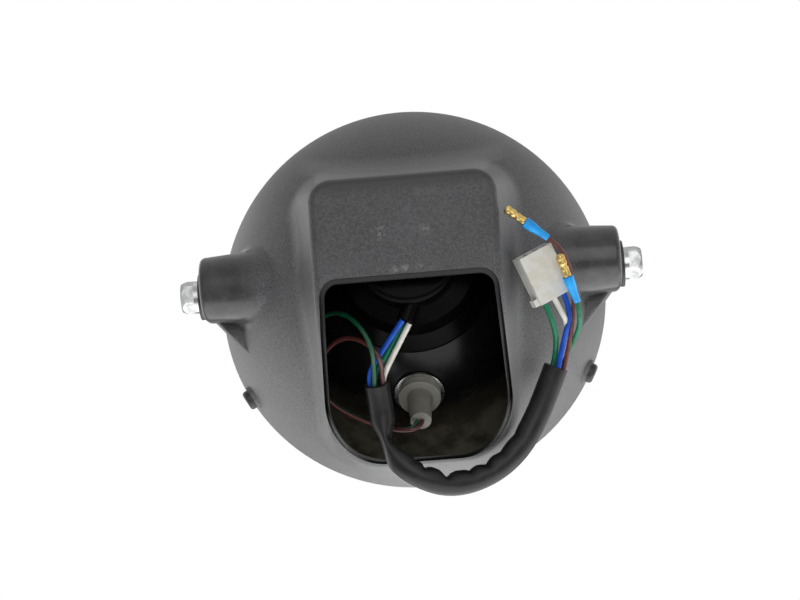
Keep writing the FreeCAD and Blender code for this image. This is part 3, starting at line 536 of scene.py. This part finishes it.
@dataclass(frozen=True)
class DustyRubber:
    """Matt rubber with a thin film of dust in patches."""

    name: str
    colour: Colour
    dust_and_low_light: Colour
    roughness: float = 0.62
    specular: float = 0.5
    spread: float = 0.2
    patches: float = 90.0
    pits: float = 1300.0
    pit_share: float = 0.2
    pit_depth: float = 0.00008
    bump: float = 0.25
    dust_span: Span = (0.42, 0.72)

    def build(self) -> bpy.types.Material:
        """Makes the material.

        Returns:
            The material.
        """
        recipe = Recipe(self.name)
        clouds = recipe.noise(self.patches, detail=4.0, rough=0.6)
        fine = recipe.noise(self.pits)
        film = (clouds * (1.0 - self.pit_share) + fine * self.pit_share).above(*self.dust_span)
        colour = recipe.blend(film, self.colour, self.dust_and_low_light)
        rough = self.roughness + clouds.sway(self.spread)
        return recipe.done(Base_Color=colour, Roughness=rough, Specular_IOR_Level=self.specular,
                           Normal=recipe.bump(fine, self.bump, self.pit_depth))


@dataclass(frozen=True)
class MirrorBowl:
    """The reflector: bright inside, black lacquer outside with a painted brownish sheen towards the
    edge.
    """

    name: str
    mirror: Colour = (0.86, 0.86, 0.88, 1.0)
    lacquer: Colour = (0.004, 0.004, 0.004, 1.0)
    # Brownish and brighter rings towards the rim: painted sheen standing in for the reflecting
    # flange.
    painted_sheen: Colour = (0.080, 0.070, 0.052, 1.0)
    painted_bright_sheen: Colour = (0.210, 0.190, 0.145, 1.0)
    front: float = 0.0355
    mouth: float = 0.075
    four_f: float = 0.086
    skin: Span = (0.0004, 0.0007)
    specular: float = 0.20
    mirror_roughness: float = 0.06
    lacquer_roughness: float = 0.20
    spread: float = 0.20
    patches: float = 70.0
    raggedness: float = 0.010
    sheen_span: Span = (0.054, 0.068)
    bright_sheen_span: Span = (0.0635, 0.0690)
    bright_sheen_patches: Span = (0.36, 0.60)

    def build(self) -> bpy.types.Material:
        """Makes the material, with the mirror's own curve to tell the inside from the outside.

        Returns:
            The material.
        """
        recipe = Recipe(self.name)
        x, y, z = recipe.split(recipe.place())
        squared = x * x + z * z
        behind = self.front - y - (self.mouth ** 2 - squared) / self.four_f
        outside = behind.above(*self.skin)
        clouds = recipe.noise(self.patches, detail=4.0, rough=0.6)
        radius = squared.root() + clouds.sway(self.raggedness)
        # Painted sheen: brownish, then brighter patches towards the rim.
        black = recipe.blend(radius.above(*self.sheen_span), self.lacquer, self.painted_sheen)
        bare = radius.above(*self.bright_sheen_span) * clouds.above(*self.bright_sheen_patches)
        colour = recipe.blend(outside, self.mirror, recipe.blend(bare, black, self.painted_bright_sheen))
        uneven = self.lacquer_roughness + clouds.sway(self.spread)
        return recipe.done(Base_Color=colour, Roughness=self.mirror_roughness + outside * uneven,
                           Metallic=1.0 - outside, Specular_IOR_Level=self.specular)


@dataclass(frozen=True)
class ClearGlass:
    """Clear glass with a faint tint and slight unevenness."""

    name: str
    tint: Colour = (0.93, 0.96, 0.96, 1.0)
    roughness: float = 0.02
    spread: float = 0.03
    patches: float = 40.0
    index: float = 1.5

    def build(self) -> bpy.types.Material:
        """Makes the material.

        Returns:
            The material.
        """
        recipe = Recipe(self.name)
        rough = self.roughness + recipe.noise(self.patches) * self.spread
        return recipe.done(Base_Color=self.tint, Roughness=rough, Transmission_Weight=1.0,
                           IOR=self.index)


class Shade(Enum):
    """Every finish of the lamp, by piece."""

    BOWL = GrainedPlastic("bowl_plastic")
    ZINC = PlatedMetal("zinc_plate", (0.52, 0.53, 0.53, 1.0), (0.32, 0.33, 0.32, 1.0), 0.32, 0.14,
                       0.95)
    SPRING = PlatedMetal("spring_steel", (0.60, 0.60, 0.59, 1.0), (0.40, 0.40, 0.39, 1.0), 0.26)
    BLACK_STEEL = PlatedMetal("black_steel", (0.012, 0.012, 0.012, 1.0), (0.026, 0.025, 0.024, 1.0),
                              0.42, 0.16, 0.0)
    RING = PlatedMetal("ring_steel", (0.78, 0.78, 0.76, 1.0), (0.62, 0.62, 0.60, 1.0), 0.20, 0.06,
                       patches=120.0, bump=0.02)
    CHROME = PlatedMetal("bright_rim", (0.82, 0.82, 0.84, 1.0), (0.78, 0.78, 0.80, 1.0), 0.07, 0.05)
    BRASS = PlatedMetal("brass", (0.54, 0.27, 0.03, 1.0), (0.13, 0.050, 0.005, 1.0), 0.20, 0.10,
                        patches=520.0, bump=0.04)
    NYLON = Vinyl("white_nylon", (0.80, 0.79, 0.75, 1.0), (0.73, 0.70, 0.61, 1.0), 0.42, 0.10)
    SKY_BLUE = Vinyl("sky_blue_vinyl", (0.012, 0.44, 1.0, 1.0), (0.010, 0.34, 0.90, 1.0), 0.40)
    SLEEVE = Vinyl("black_vinyl_tube", (0.010, 0.010, 0.011, 1.0), (0.017, 0.017, 0.017, 1.0), 0.40,
                   0.30, 0.34)
    WIRE_WHITE = Vinyl("white_wire", (0.74, 0.72, 0.66, 1.0), (0.62, 0.60, 0.53, 1.0))
    WIRE_BLUE = Vinyl("blue_wire", (0.007, 0.085, 0.53, 1.0), (0.005, 0.060, 0.40, 1.0), 0.40,
                      specular=0.3)
    WIRE_GREEN = Vinyl("green_wire", (0.006, 0.19, 0.090, 1.0), (0.005, 0.13, 0.060, 1.0), 0.40,
                       specular=0.3)
    WIRE_BROWN = Vinyl("brown_wire", (0.170, 0.062, 0.056, 1.0), (0.115, 0.040, 0.036, 1.0), 0.40,
                       specular=0.3)
    # Darker copies of the green and brown wires for inside the bowl: painted shade.
    SHADED_GREEN = Vinyl("shaded_green_wire", (0.005, 0.085, 0.035, 1.0), (0.004, 0.055, 0.022, 1.0))
    SHADED_BROWN = Vinyl("shaded_brown_wire", (0.085, 0.022, 0.018, 1.0), (0.060, 0.016, 0.013, 1.0))
    BOOT = DustyRubber("boot_rubber", (0.0012, 0.0012, 0.0012, 1.0), (0.0030, 0.0030, 0.0030, 1.0),
                       0.30, 0.05)
    HOLDER = DustyRubber("holder_rubber", (0.210, 0.205, 0.175, 1.0), (0.290, 0.285, 0.250, 1.0))
    PLUG = DustyRubber("plug_plastic", (0.020, 0.020, 0.020, 1.0), (0.045, 0.045, 0.045, 1.0), 0.5)
    REFLECTOR = MirrorBowl("reflector_bowl")
    LENS = ClearGlass("lens_glass")
    BULB = ClearGlass("bulb_glass", (0.98, 0.98, 0.98, 1.0))

    @property
    def material(self) -> bpy.types.Material:
        """The finish as a material, made at its first use."""
        found = bpy.data.materials.get(self.value.name)
        return found or self.value.build()


def dress(node: str, shade: Shade) -> None:
    """Gives a carried-over node its finish.

    Args:
        node: Name of the node.
        shade: The finish.
    """
    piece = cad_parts[node]
    if not piece.material_slots:
        piece.data.materials.append(shade.material)
    for slot in piece.material_slots:
        slot.material = shade.material
    log.info("dressed %s", node)


def plain_mesh(piece: bpy.types.Object, name: str) -> bpy.types.Mesh:
    """An evaluated object as a mesh of its own.

    Args:
        piece: The object, with its live modifiers.
        name: Name of the new mesh.

    Returns:
        The mesh.
    """
    graph = bpy.context.evaluated_depsgraph_get()
    graph.update()
    mesh = bpy.data.meshes.new_from_object(piece.evaluated_get(graph))
    mesh.name = name
    return mesh


def add_object(name: str, data: Any) -> bpy.types.Object:
    """A new object in the scene.

    Args:
        name: Name of the object.
        data: Its mesh, curve, camera or lamp.

    Returns:
        The object.
    """
    piece = bpy.data.objects.new(name, data)
    bpy.context.scene.collection.objects.link(piece)
    return piece


class TubeTree:
    """Geometry node tree that turns a route into a capped round tube."""

    def __init__(self) -> None:
        """Builds the tree once."""
        self.group = bpy.data.node_groups.new("cord_tube", "GeometryNodeTree")
        face = self.group.interface
        face.new_socket("Route", in_out="INPUT", socket_type="NodeSocketGeometry")
        self.radius = face.new_socket("Radius", in_out="INPUT", socket_type="NodeSocketFloat")
        self.sides = face.new_socket("Sides", in_out="INPUT", socket_type="NodeSocketInt")
        self.step = face.new_socket("Step", in_out="INPUT", socket_type="NodeSocketFloat")
        self.finish = face.new_socket("Finish", in_out="INPUT", socket_type="NodeSocketMaterial")
        face.new_socket("Tube", in_out="OUTPUT", socket_type="NodeSocketGeometry")
        source = self.group.nodes.new("NodeGroupInput")
        evenly = self.group.nodes.new("GeometryNodeResampleCurve")
        evenly.mode = "LENGTH"
        ring = self.group.nodes.new("GeometryNodeCurvePrimitiveCircle")
        sweep = self.group.nodes.new("GeometryNodeCurveToMesh")
        sweep.inputs["Fill Caps"].default_value = True
        smooth = self.group.nodes.new("GeometryNodeSetShadeSmooth")
        real = self.group.nodes.new("GeometryNodeRealizeInstances")
        paint = self.group.nodes.new("GeometryNodeSetMaterial")
        result = self.group.nodes.new("NodeGroupOutput")
        for start, end in (
                (source.outputs["Route"], evenly.inputs["Curve"]),
                (source.outputs["Step"], evenly.inputs["Length"]),
                (source.outputs["Sides"], ring.inputs["Resolution"]),
                (source.outputs["Radius"], ring.inputs["Radius"]),
                (evenly.outputs["Curve"], sweep.inputs["Curve"]),
                (ring.outputs["Curve"], sweep.inputs["Profile Curve"]),
                (sweep.outputs["Mesh"], smooth.inputs["Geometry"]),
                (smooth.outputs["Geometry"], real.inputs["Geometry"]),
                (real.outputs["Geometry"], paint.inputs["Geometry"]),
                (source.outputs["Finish"], paint.inputs["Material"]),
                (paint.outputs["Geometry"], result.inputs["Tube"])):
            self.group.links.new(start, end)

    def sweep(self, route: bpy.types.Object, radius: float, sides: int, step: float,
              finish: bpy.types.Material) -> bpy.types.Mesh:
        """Bakes the tube of one route.

        Args:
            route: Curve object of the route.
            radius: Radius of the tube.
            sides: Number of sides of its section.
            step: Distance between its sections.
            finish: Its material.

        Returns:
            The tube as a plain mesh.
        """
        modifier = route.modifiers.new("tube", "NODES")
        modifier.node_group = self.group
        for socket, value in ((self.radius, radius), (self.sides, sides), (self.step, step),
                              (self.finish, finish)):
            modifier[socket.identifier] = value
        mesh = plain_mesh(route, f"{route.name}_tube")
        route.modifiers.remove(modifier)
        return mesh


class FarEnd(Enum):
    """What a cord runs to."""

    OBJECT = "object"
    BARE = "bare"
    CONNECTOR = "connector"
    FITTING = "fitting"


@dataclass
class Cord:
    """One wire or sleeve of the loom, on the route that the part's source gives it."""

    node: str
    shade: Shade
    slot: str
    diameter: float
    route: list[Point]
    far_end: FarEnd = FarEnd.OBJECT
    ends: tuple[str, ...] = ()
    sides: int = 14
    step: float = 0.0012

    def spline(self) -> bpy.types.Object:
        """The route as a smooth open spline.

        Returns:
            A curve object with no thickness.
        """
        data = bpy.data.curves.new(f"{self.node}_route", "CURVE")
        data.dimensions = "3D"
        data.resolution_u = CURVE_STEPS
        line = data.splines.new("NURBS")
        line.points.add(len(self.route) - 1)
        for point, place in zip(line.points, self.route):
            point.co = (place[0] * MM, place[1] * MM, place[2] * MM, 1.0)
        line.order_u = CURVE_ORDER
        line.use_endpoint_u = True
        return add_object(f"{self.node}_route", data)

    def build(self, tree: TubeTree, ends: dict[str, bpy.types.Object]) -> None:
        """Args:
            tree: The tree that sweeps tubes.
            ends: The pieces that cords end in, by node; not used.
        """
        route = self.spline()
        bare = plain_mesh(route, f"{self.node}_line")
        points = [vertex.co.copy() for vertex in bare.vertices]
        mesh = tree.sweep(route, self.diameter * MM / 2, self.sides, self.step, self.shade.material)
        self.shape(mesh, points)
        bpy.data.objects.remove(route)
        piece = add_object(self.node + "_cord", mesh)
        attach(piece, BODY)
        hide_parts(self.node)

    def shape(self, mesh: bpy.types.Mesh, points: list[Vector]) -> None:
        """Leaves a wire round."""


@dataclass(frozen=True)
class Fold:
    """A fold in the sleeve: where it lies along it, its share of the radius and its reach."""

    place: float
    depth: float
    reach: float

    def nearness(self, along: float) -> float:
        """1 at the fold, falling to 0 at its reach."""
        return max(0.0, 1.0 - abs(along - self.place) / self.reach)


@dataclass
class SoftSleeve(Cord):
    """The loom's soft tube: it folds on the inside of its bend and lies a little flat."""

    far_end: FarEnd = FarEnd.BARE
    sides: int = 40
    step: float = 0.0008
    folds: tuple[Fold, ...] = (
        Fold(41.5, 0.20, 4.0), Fold(46.8, 0.34, 4.4), Fold(58.0, 0.62, 6.0), Fold(70.0, 0.22, 5.0),
        Fold(78.5, 0.34, 5.5), Fold(88.0, 0.20, 6.0), Fold(99.0, 0.14, 6.0))
    sharpness: float = 2.2
    pinch: Fold = Fold(26.5, 0.58, 11.0)
    pinch_way: Point = (1.0, 0.0, 0.12)

    def shape(self, mesh: bpy.types.Mesh, points: list[Vector]) -> None:
        """Notches the inside of the bend and pinches the tube where it leaves the bowl.

        Args:
            mesh: The tube.
            points: Points along its middle line.
        """
        runs = [0.0]
        for a, b in zip(points, points[1:]):
            runs.append(runs[-1] + (b - a).length / MM)
        hub = sum(points, Vector()) / len(points)
        across = Vector(self.pinch_way).normalized()
        for vertex in mesh.vertices:
            index = min(range(len(points)), key=lambda i: (points[i] - vertex.co).length_squared)
            offset = vertex.co - points[index]
            facing = max(0.0, offset.normalized().dot((hub - points[index]).normalized()))
            scale = 1.0
            for fold in self.folds:
                scale -= fold.depth * fold.nearness(runs[index]) ** self.sharpness * facing
            near = self.pinch.nearness(runs[index])
            eased = near * near * (3.0 - 2.0 * near)
            squeeze = across * offset.dot(across) * self.pinch.depth * eased
            vertex.co = points[index] + offset * scale - squeeze


def turn(start: Vector, along: Vector, profile: list[tuple[float, float]],
         dent: Callable[[float, float], float], sides: int = 30) -> bpy.types.Mesh:
    """Turns a profile about a line and dents it.

    Args:
        start: A point on the line.
        along: Direction of the line.
        profile: Distances along the line and radii.
        dent: Share of the radius that is left, by distance and angle.
        sides: Number of sides.

    Returns:
        A closed mesh.
    """
    toward = Vector((0.0, -1.0, 0.0))
    up = (toward - along * toward.dot(along)).normalized()
    side = along.cross(up)
    points = []
    faces = [list(range(sides))[::-1]]
    for row, (run, radius) in enumerate(profile):
        for step in range(sides):
            angle = 2.0 * math.pi * step / sides
            way = up * math.cos(angle) + side * math.sin(angle)
            points.append(start + along * run + way * radius * dent(run / MM, angle))
        if row:
            first = (row - 1) * sides
            faces += [[first + k, first + (k + 1) % sides, first + sides + (k + 1) % sides,
                       first + sides + k] for k in range(sides)]
    faces.append([len(points) - sides + k for k in range(sides)])
    mesh = bpy.data.meshes.new("turned")
    mesh.from_pydata(points, [], faces)
    mesh.shade_smooth()
    return mesh


@dataclass(frozen=True)
class BulletTerminal:
    """A brass bullet with its crimp and seam, and the soft sleeve over its wire."""

    number: str
    root: Point
    tip: Point
    sleeve_length: float = 11.8
    brass: tuple[tuple[float, float], ...] = (
        (-3.9, 1.45), (-0.3, 1.45), (0.0, 1.66), (0.3, 1.80), (1.0, 1.82), (1.6, 1.74), (2.2, 1.68),
        (2.9, 1.72), (3.5, 1.80), (3.9, 1.80), (4.2, 1.60), (4.5, 1.46), (5.0, 1.44), (5.3, 1.62),
        (5.6, 1.84), (6.0, 1.94), (6.6, 1.94), (7.0, 1.78), (7.4, 1.72), (7.8, 1.80), (8.4, 1.90),
        (9.0, 1.86), (9.5, 1.66), (9.8, 1.40), (10.0, 1.14), (9.9, 0.90), (9.4, 0.84), (7.2, 0.80))
    vinyl: tuple[tuple[float, float], ...] = (
        (0.0, 1.02), (0.0, 1.30), (0.3, 1.44), (1.6, 1.50), (3.4, 1.58), (5.2, 1.74), (6.6, 1.98),
        (8.0, 2.20), (9.6, 2.26), (11.0, 2.34), (11.6, 2.30), (11.8, 2.16), (11.8, 1.90),
        (9.0, 1.86), (7.9, 1.84))
    seam_angle: float = 0.5
    crimp: Span = (0.6, 4.2)
    crimp_depth: float = 0.30
    crimp_width: float = 0.42
    split: Span = (5.2, 9.9)
    split_depth: float = 0.24
    split_width: float = 0.20
    hug_at: float = 7.0
    hug_depth: float = 0.05
    hug_reach: float = 3.0

    def brass_dent(self, run: float, angle: float) -> float:
        """How much the pin's crimp and seam leave of it.

        Args:
            run: Distance along the pin.
            angle: Angle round it.

        Returns:
            Share of the radius.
        """
        turned = math.remainder(angle - self.seam_angle, 2.0 * math.pi)
        share = 1.0
        if self.crimp[0] < run < self.crimp[1]:
            share -= self.crimp_depth * math.exp(-(turned / self.crimp_width) ** 2)
        if self.split[0] < run < self.split[1]:
            share -= self.split_depth * math.exp(-(turned / self.split_width) ** 2)
        return share

    def vinyl_dent(self, run: float, angle: float) -> float:
        """Share of the sleeve's radius that is left where it hugs the crimp."""
        flat = self.hug_depth * math.cos(2.0 * (angle - self.seam_angle))
        return 1.0 - flat * math.exp(-((run - self.hug_at) / self.hug_reach) ** 2)

    def build(self) -> dict[str, bpy.types.Object]:
        """Makes the pin and the sleeve in place of the plain ones.

        Returns:
            Both pieces by node.
        """
        root = Vector(self.root) * MM
        along = (Vector(self.tip) - Vector(self.root)).normalized()
        made = {}
        for kind, start, profile, dent, shade, slot in (
                ("pin", root + along * self.sleeve_length * MM, self.brass, self.brass_dent,
                 Shade.BRASS, "brass"),
                ("sleeve", root, self.vinyl, self.vinyl_dent, Shade.SKY_BLUE, "sky_blue")):
            mesh = turn(start, along, [(run * MM, radius * MM) for run, radius in profile], dent)
            mesh.materials.append(shade.material)
            node = f"bullet_{kind}_{self.number}"
            made[node] = add_object(f"{node}_form", mesh)
            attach(made[node], BODY)
            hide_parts(node)
            log.info("made %s", node)
        return made


@dataclass
class Loom:
    """Wires, sleeve, connector and bullet terminals."""

    thick: float = 2.4
    thin: float = 2.0
    tube: float = 10.6
    tree: TubeTree = field(default_factory=TubeTree)
    bullets: tuple[BulletTerminal, ...] = (
        BulletTerminal("1", (59.6, -51.0, 0.4), (42.9, -55.2, 13.4)),
        BulletTerminal("2", (69.9, -42.0, -26.0), (63.0, -52.0, -5.4)))

    def cords(self) -> list[Cord]:
        """Every cord of the loom with its route.

        Returns:
            The cords, the sleeve first.
        """
        sleeve = SoftSleeve(
            "harness_sleeve", Shade.SLEEVE, "sleeve", self.tube,
            [(-17.1, -30.0, -51.7), (-16.4, -25.0, -59.8), (-15.8, -23.0, -68.6),
             (-15.4, -23.6, -77.6), (-8.6, -25.0, -86.6), (-0.3, -24.0, -92.4), (8.8, -21.0, -95.4),
             (19.0, -18.0, -94.6), (30.9, -16.0, -89.8), (41.0, -14.6, -81.4), (48.4, -14.4, -70.6),
             (54.5, -16.2, -59.0), (59.6, -19.4, -48.3)])
        return [
            sleeve,
            Cord("lead_white", Shade.WIRE_WHITE, "wire_white", self.thick,
                 [(-1.16, -41.53, -29.29), (-7.8, -37.0, -39.3), (-13.0, -31.5, -46.8),
                  (-14.68, -28.55, -50.69), (-14.4, -26.7, -53.6)]),
            Cord("lead_blue", Shade.WIRE_BLUE, "wire_blue", self.thick,
                 [(-3.92, -43.21, -28.03), (-14.6, -36.6, -40.4), (-19.6, -32.6, -46.6),
                  (-20.1, -29.93, -51.81), (-19.9, -28.5, -54.2)]),
            Cord("lead_green", Shade.WIRE_GREEN, "wire_green", self.thick,
                 [(-3.92, -39.75, -28.17), (-10.9, -35.0, -39.5), (-16.8, -30.6, -45.5),
                  (-18.03, -27.55, -50.23), (-17.8, -25.7, -53.2)]),
            Cord("lamp_brown", Shade.SHADED_BROWN, "wire_brown", self.thin,
                 [(-14.68, -31.55, -52.54), (-14.2, -35.4, -46.2), (-15.0, -41.4, -41.8),
                  (-20.4, -38.4, -35.2), (-27.0, -33.0, -31.2), (-34.0, -27.0, -31.2),
                  (-40.6, -20.2, -35.8), (-44.0, -13.6, -45.4), (-40.2, -11.2, -53.2),
                  (-33.2, -11.0, -59.2), (-25.2, -11.8, -63.6), (-16.8, -13.6, -67.4),
                  (-8.6, -17.0, -70.4), (-0.6, -18.4, -70.2), (0.6, -13.98, -66.14)]),
            Cord("lamp_green", Shade.SHADED_GREEN, "wire_green", self.thin,
                 [(-18.03, -32.41, -53.23), (-17.6, -36.08, -47.0), (-17.4, -44.0, -39.0),
                  (-21.6, -43.4, -29.6), (-28.2, -35.6, -21.6), (-35.8, -26.4, -18.2),
                  (-43.4, -17.6, -20.6), (-47.6, -11.6, -28.8), (-47.6, -7.8, -38.6),
                  (-43.6, -6.6, -48.2), (-36.4, -7.0, -55.8), (-27.5, -7.8, -61.2),
                  (-18.0, -10.2, -66.4), (-9.6, -14.2, -69.8), (-3.6, -16.0, -69.6),
                  (-1.4, -13.98, -66.14)]),
            Cord("tail_green", Shade.WIRE_GREEN, "wire_green", self.thick,
                 [(58.2, -20.9, -48.09), (60.8, -22.4, -40.4), (59.5, -35.02, -31.82),
                  (56.2, -38.1, -24.04)], FarEnd.CONNECTOR, ("connector_block",)),
            Cord("tail_white", Shade.WIRE_WHITE, "wire_white", self.thick,
                 [(60.2, -17.0, -47.88), (62.8, -19.6, -41.0), (65.0, -26.0, -35.4),
                  (65.2, -31.6, -31.2), (63.0, -35.0, -27.4), (60.4, -37.2, -21.9)],
                 FarEnd.CONNECTOR, ("connector_pins",)),
            Cord("tail_blue", Shade.WIRE_BLUE, "wire_blue", self.thick,
                 [(60.3, -22.6, -49.6), (62.6, -24.8, -41.4), (65.0, -29.4, -34.8),
                  (67.4, -33.7, -27.2), (64.6, -36.3, -19.76)]),
            Cord("tail_brown", Shade.WIRE_BROWN, "wire_brown", self.thin,
                 [(62.6, -20.6, -50.1), (65.0, -22.6, -43.0), (67.2, -28.0, -34.6),
                  (68.8, -33.5, -26.4), (69.0, -38.4, -17.4), (67.8, -43.4, -9.4),
                  (63.86, -49.93, -2.91), (59.6, -51.0, 0.4)], FarEnd.FITTING,
                 ("bullet_pin_1", "bullet_sleeve_1")),
            Cord("tail_thin_green", Shade.WIRE_GREEN, "wire_green", self.thin,
                 [(62.0, -17.2, -48.79), (65.4, -19.6, -42.2), (68.9, -26.5, -37.1),
                  (70.6, -33.5, -33.2), (70.4, -39.4, -30.6), (69.9, -42.0, -26.0)],
                 FarEnd.FITTING, ("bullet_pin_2", "bullet_sleeve_2"))]

    def build(self) -> None:
        """Dresses the terminals and lays every cord."""
        dress("connector_block", Shade.NYLON)
        dress("connector_pins", Shade.BRASS)
        ends = {node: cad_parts[node] for node in ("connector_block", "connector_pins")}
        for bullet in self.bullets:
            ends.update(bullet.build())
        for cord in self.cords():
            cord.build(self.tree, ends)


@dataclass
class CarriedPieces:
    """Pieces that keep the part's own shapes, with a finish for each node."""

    finishes: dict[str, Shade]

    def build(self) -> None:
        """Dresses the pieces."""
        for node, shade in self.finishes.items():
            dress(node, shade)


@dataclass
class Bowl(CarriedPieces):
    """The moulded bowl with its bolts, washers, inserts and rim screws."""

    finishes: dict[str, Shade] = field(default_factory=lambda: {
        "housing": Shade.BOWL, "boss_inserts": Shade.ZINC, "flat_washers": Shade.BLACK_STEEL,
        "spring_washers": Shade.SPRING, "pivot_bolts": Shade.ZINC, "rim_screws": Shade.BLACK_STEEL,
        "rim_nuts": Shade.ZINC})


@dataclass
class LightUnit(CarriedPieces):
    """Rim, lens, reflector, bulbs, boot and the parking lamp."""

    finishes: dict[str, Shade] = field(default_factory=lambda: {
        "front_rim": Shade.CHROME, "lens": Shade.LENS, "lens_gasket": Shade.BOOT,
        "reflector": Shade.REFLECTOR, "reflector_clips": Shade.SPRING, "bulb_glass": Shade.BULB,
        "bulb_base": Shade.ZINC, "bulb_terminals": Shade.BRASS, "bulb_lock_ring": Shade.ZINC,
        "bulb_plug": Shade.PLUG, "dust_boot": Shade.BOOT, "parking_ring": Shade.RING,
        "parking_holder": Shade.HOLDER, "parking_bulb": Shade.BULB})


@dataclass(frozen=True)
class SoftLamp:
    """A soft square lamp: where it stands, the length of its side and its power in watts."""

    name: str
    place: Point
    size: float
    power: float

    def build(self, target: Point) -> None:
        """Sets the lamp up.

        Args:
            target: The point that it faces.
        """
        data = bpy.data.lights.new(self.name, "AREA")
        data.size = self.size
        data.energy = self.power
        lamp = add_object(self.name, data)
        lamp.location = self.place
        backward = Vector(self.place) - Vector(target)
        lamp.rotation_euler = backward.to_track_quat("Z", "Y").to_euler()


@dataclass
class Studio:
    """White surroundings, soft lamps and the camera behind and a little below the lamp."""

    target: Point = (0.0, 0.032, 0.0)
    distance: float = 0.900
    elevation: float = -14.0
    azimuth: float = 1.2
    roll: float = 4.27
    pixels: tuple[float, float] = (800.0, 600.0)
    target_pixel: tuple[float, float] = (414.0, 297.6)
    focal_pixels: float = 1953.0
    sensor: float = 36.0
    sight: float = 20.0
    floor_height: float = -1.10
    floor_reach: float = 25.0
    floor_tones: Span = (0.78, 0.82)
    floor_patches: float = 3.0
    floor_roughness: float = 0.8
    floor_glow: float = 0.52
    ambient: float = 0.03
    overhead: float = 0.50
    gloss: float = 0.45
    lamps: tuple[SoftLamp, ...] = (
        SoftLamp("front", (0.15, -1.20, 0.10), 0.9, 4.0),
        SoftLamp("left", (-0.95, 0.12, -0.20), 1.2, 2.7),
        SoftLamp("left_far", (-0.90, 0.55, 0.10), 1.2, 4.2),
        SoftLamp("right", (0.95, 0.05, -0.35), 1.2, 3.2),
        SoftLamp("right_far", (0.90, 0.55, 0.10), 1.2, 3.5),
        SoftLamp("below", (0.05, 0.10, -0.46), 1.0, 5.6))

    def axes(self) -> tuple[Vector, Vector, Vector]:
        """The camera's own directions.

        Returns:
            Right, up and backward.
        """
        tilt = math.radians(self.elevation)
        swing = math.radians(self.azimuth)
        back = Vector((math.sin(swing) * math.cos(tilt), -math.cos(swing) * math.cos(tilt),
                       math.sin(tilt)))
        right = Vector((0.0, 0.0, 1.0)).cross(back).normalized()
        up = back.cross(right)
        spin = math.radians(self.roll)
        return (right * math.cos(spin) - up * math.sin(spin),
                right * math.sin(spin) + up * math.cos(spin), back)

    def place_camera(self) -> None:
        """Sets the camera as the photo was taken."""
        right, up, back = self.axes()
        data = bpy.data.cameras.new("camera")
        data.sensor_width = self.sensor
        data.lens = self.sensor * self.focal_pixels / self.pixels[0]
        data.shift_x = (self.pixels[0] / 2 - self.target_pixel[0]) / self.pixels[0]
        data.shift_y = (self.target_pixel[1] - self.pixels[1] / 2) / self.pixels[0]
        data.clip_end = self.sight
        camera = add_object("camera", data)
        facing = Matrix((right, up, back)).transposed().to_4x4()
        camera.matrix_world = Matrix.Translation(Vector(self.target) + back * self.distance) @ facing
        bpy.context.scene.camera = camera

    def surround(self) -> None:
        """White for the camera and for glass; for other rays a dim room, brighter overhead."""
        world = bpy.data.worlds.new("white_room")
        bpy.context.scene.world = world
        world.use_nodes = True
        sheet = NodeSheet(world.node_tree)
        ground = world.node_tree.nodes["Background"]
        sheet.feed(ground.inputs["Color"], grey(1.0))
        camera = sheet.add("ShaderNodeLightPath", {}, {}, "Is Camera Ray")
        through = sheet.add("ShaderNodeLightPath", {}, {}, "Is Transmission Ray")
        glossy = sheet.add("ShaderNodeLightPath", {}, {}, "Is Glossy Ray")
        _, _, upward = sheet.split(sheet.add("ShaderNodeTexCoord", {}, {}, "Generated"))
        above = upward.most(0.0)
        level = self.ambient + above * above * self.overhead + glossy * self.gloss
        seen = camera.most(through)
        sheet.feed(ground.inputs["Strength"], level + seen * (1.0 - level))

    def floor(self) -> None:
        """A plain floor well below the lamp, pale for the camera alone."""
        mesh = bpy.data.meshes.new("floor")
        reach = self.floor_reach
        corners = [(-reach, -reach), (reach, -reach), (reach, reach), (-reach, reach)]
        mesh.from_pydata([(x, y, self.floor_height) for x, y in corners], [], [(0, 1, 2, 3)])
        recipe = Recipe("pale_floor")
        darker, lighter = self.floor_tones
        tone = recipe.blend(recipe.noise(self.floor_patches), grey(darker), grey(lighter))
        seen = recipe.add("ShaderNodeLightPath", {}, {}, "Is Camera Ray")
        glow = recipe.blend(seen, grey(0.0), grey(self.floor_glow))
        mesh.materials.append(recipe.done(Base_Color=tone, Roughness=self.floor_roughness,
                                          Emission_Color=glow, Emission_Strength=1.0))
        add_object("floor", mesh)

    def build(self) -> None:
        """Sets up camera, lamps, world and floor."""
        self.place_camera()
        self.surround()
        self.floor()
        for lamp in self.lamps:
            lamp.build(self.target)
        bpy.context.scene.view_settings.view_transform = "Standard"


def main() -> None:
    """Builds the scene in order."""
    Studio().build()
    Loom().build()
    Bowl().build()
    LightUnit().build()


if __name__ == "__main__":
    main()
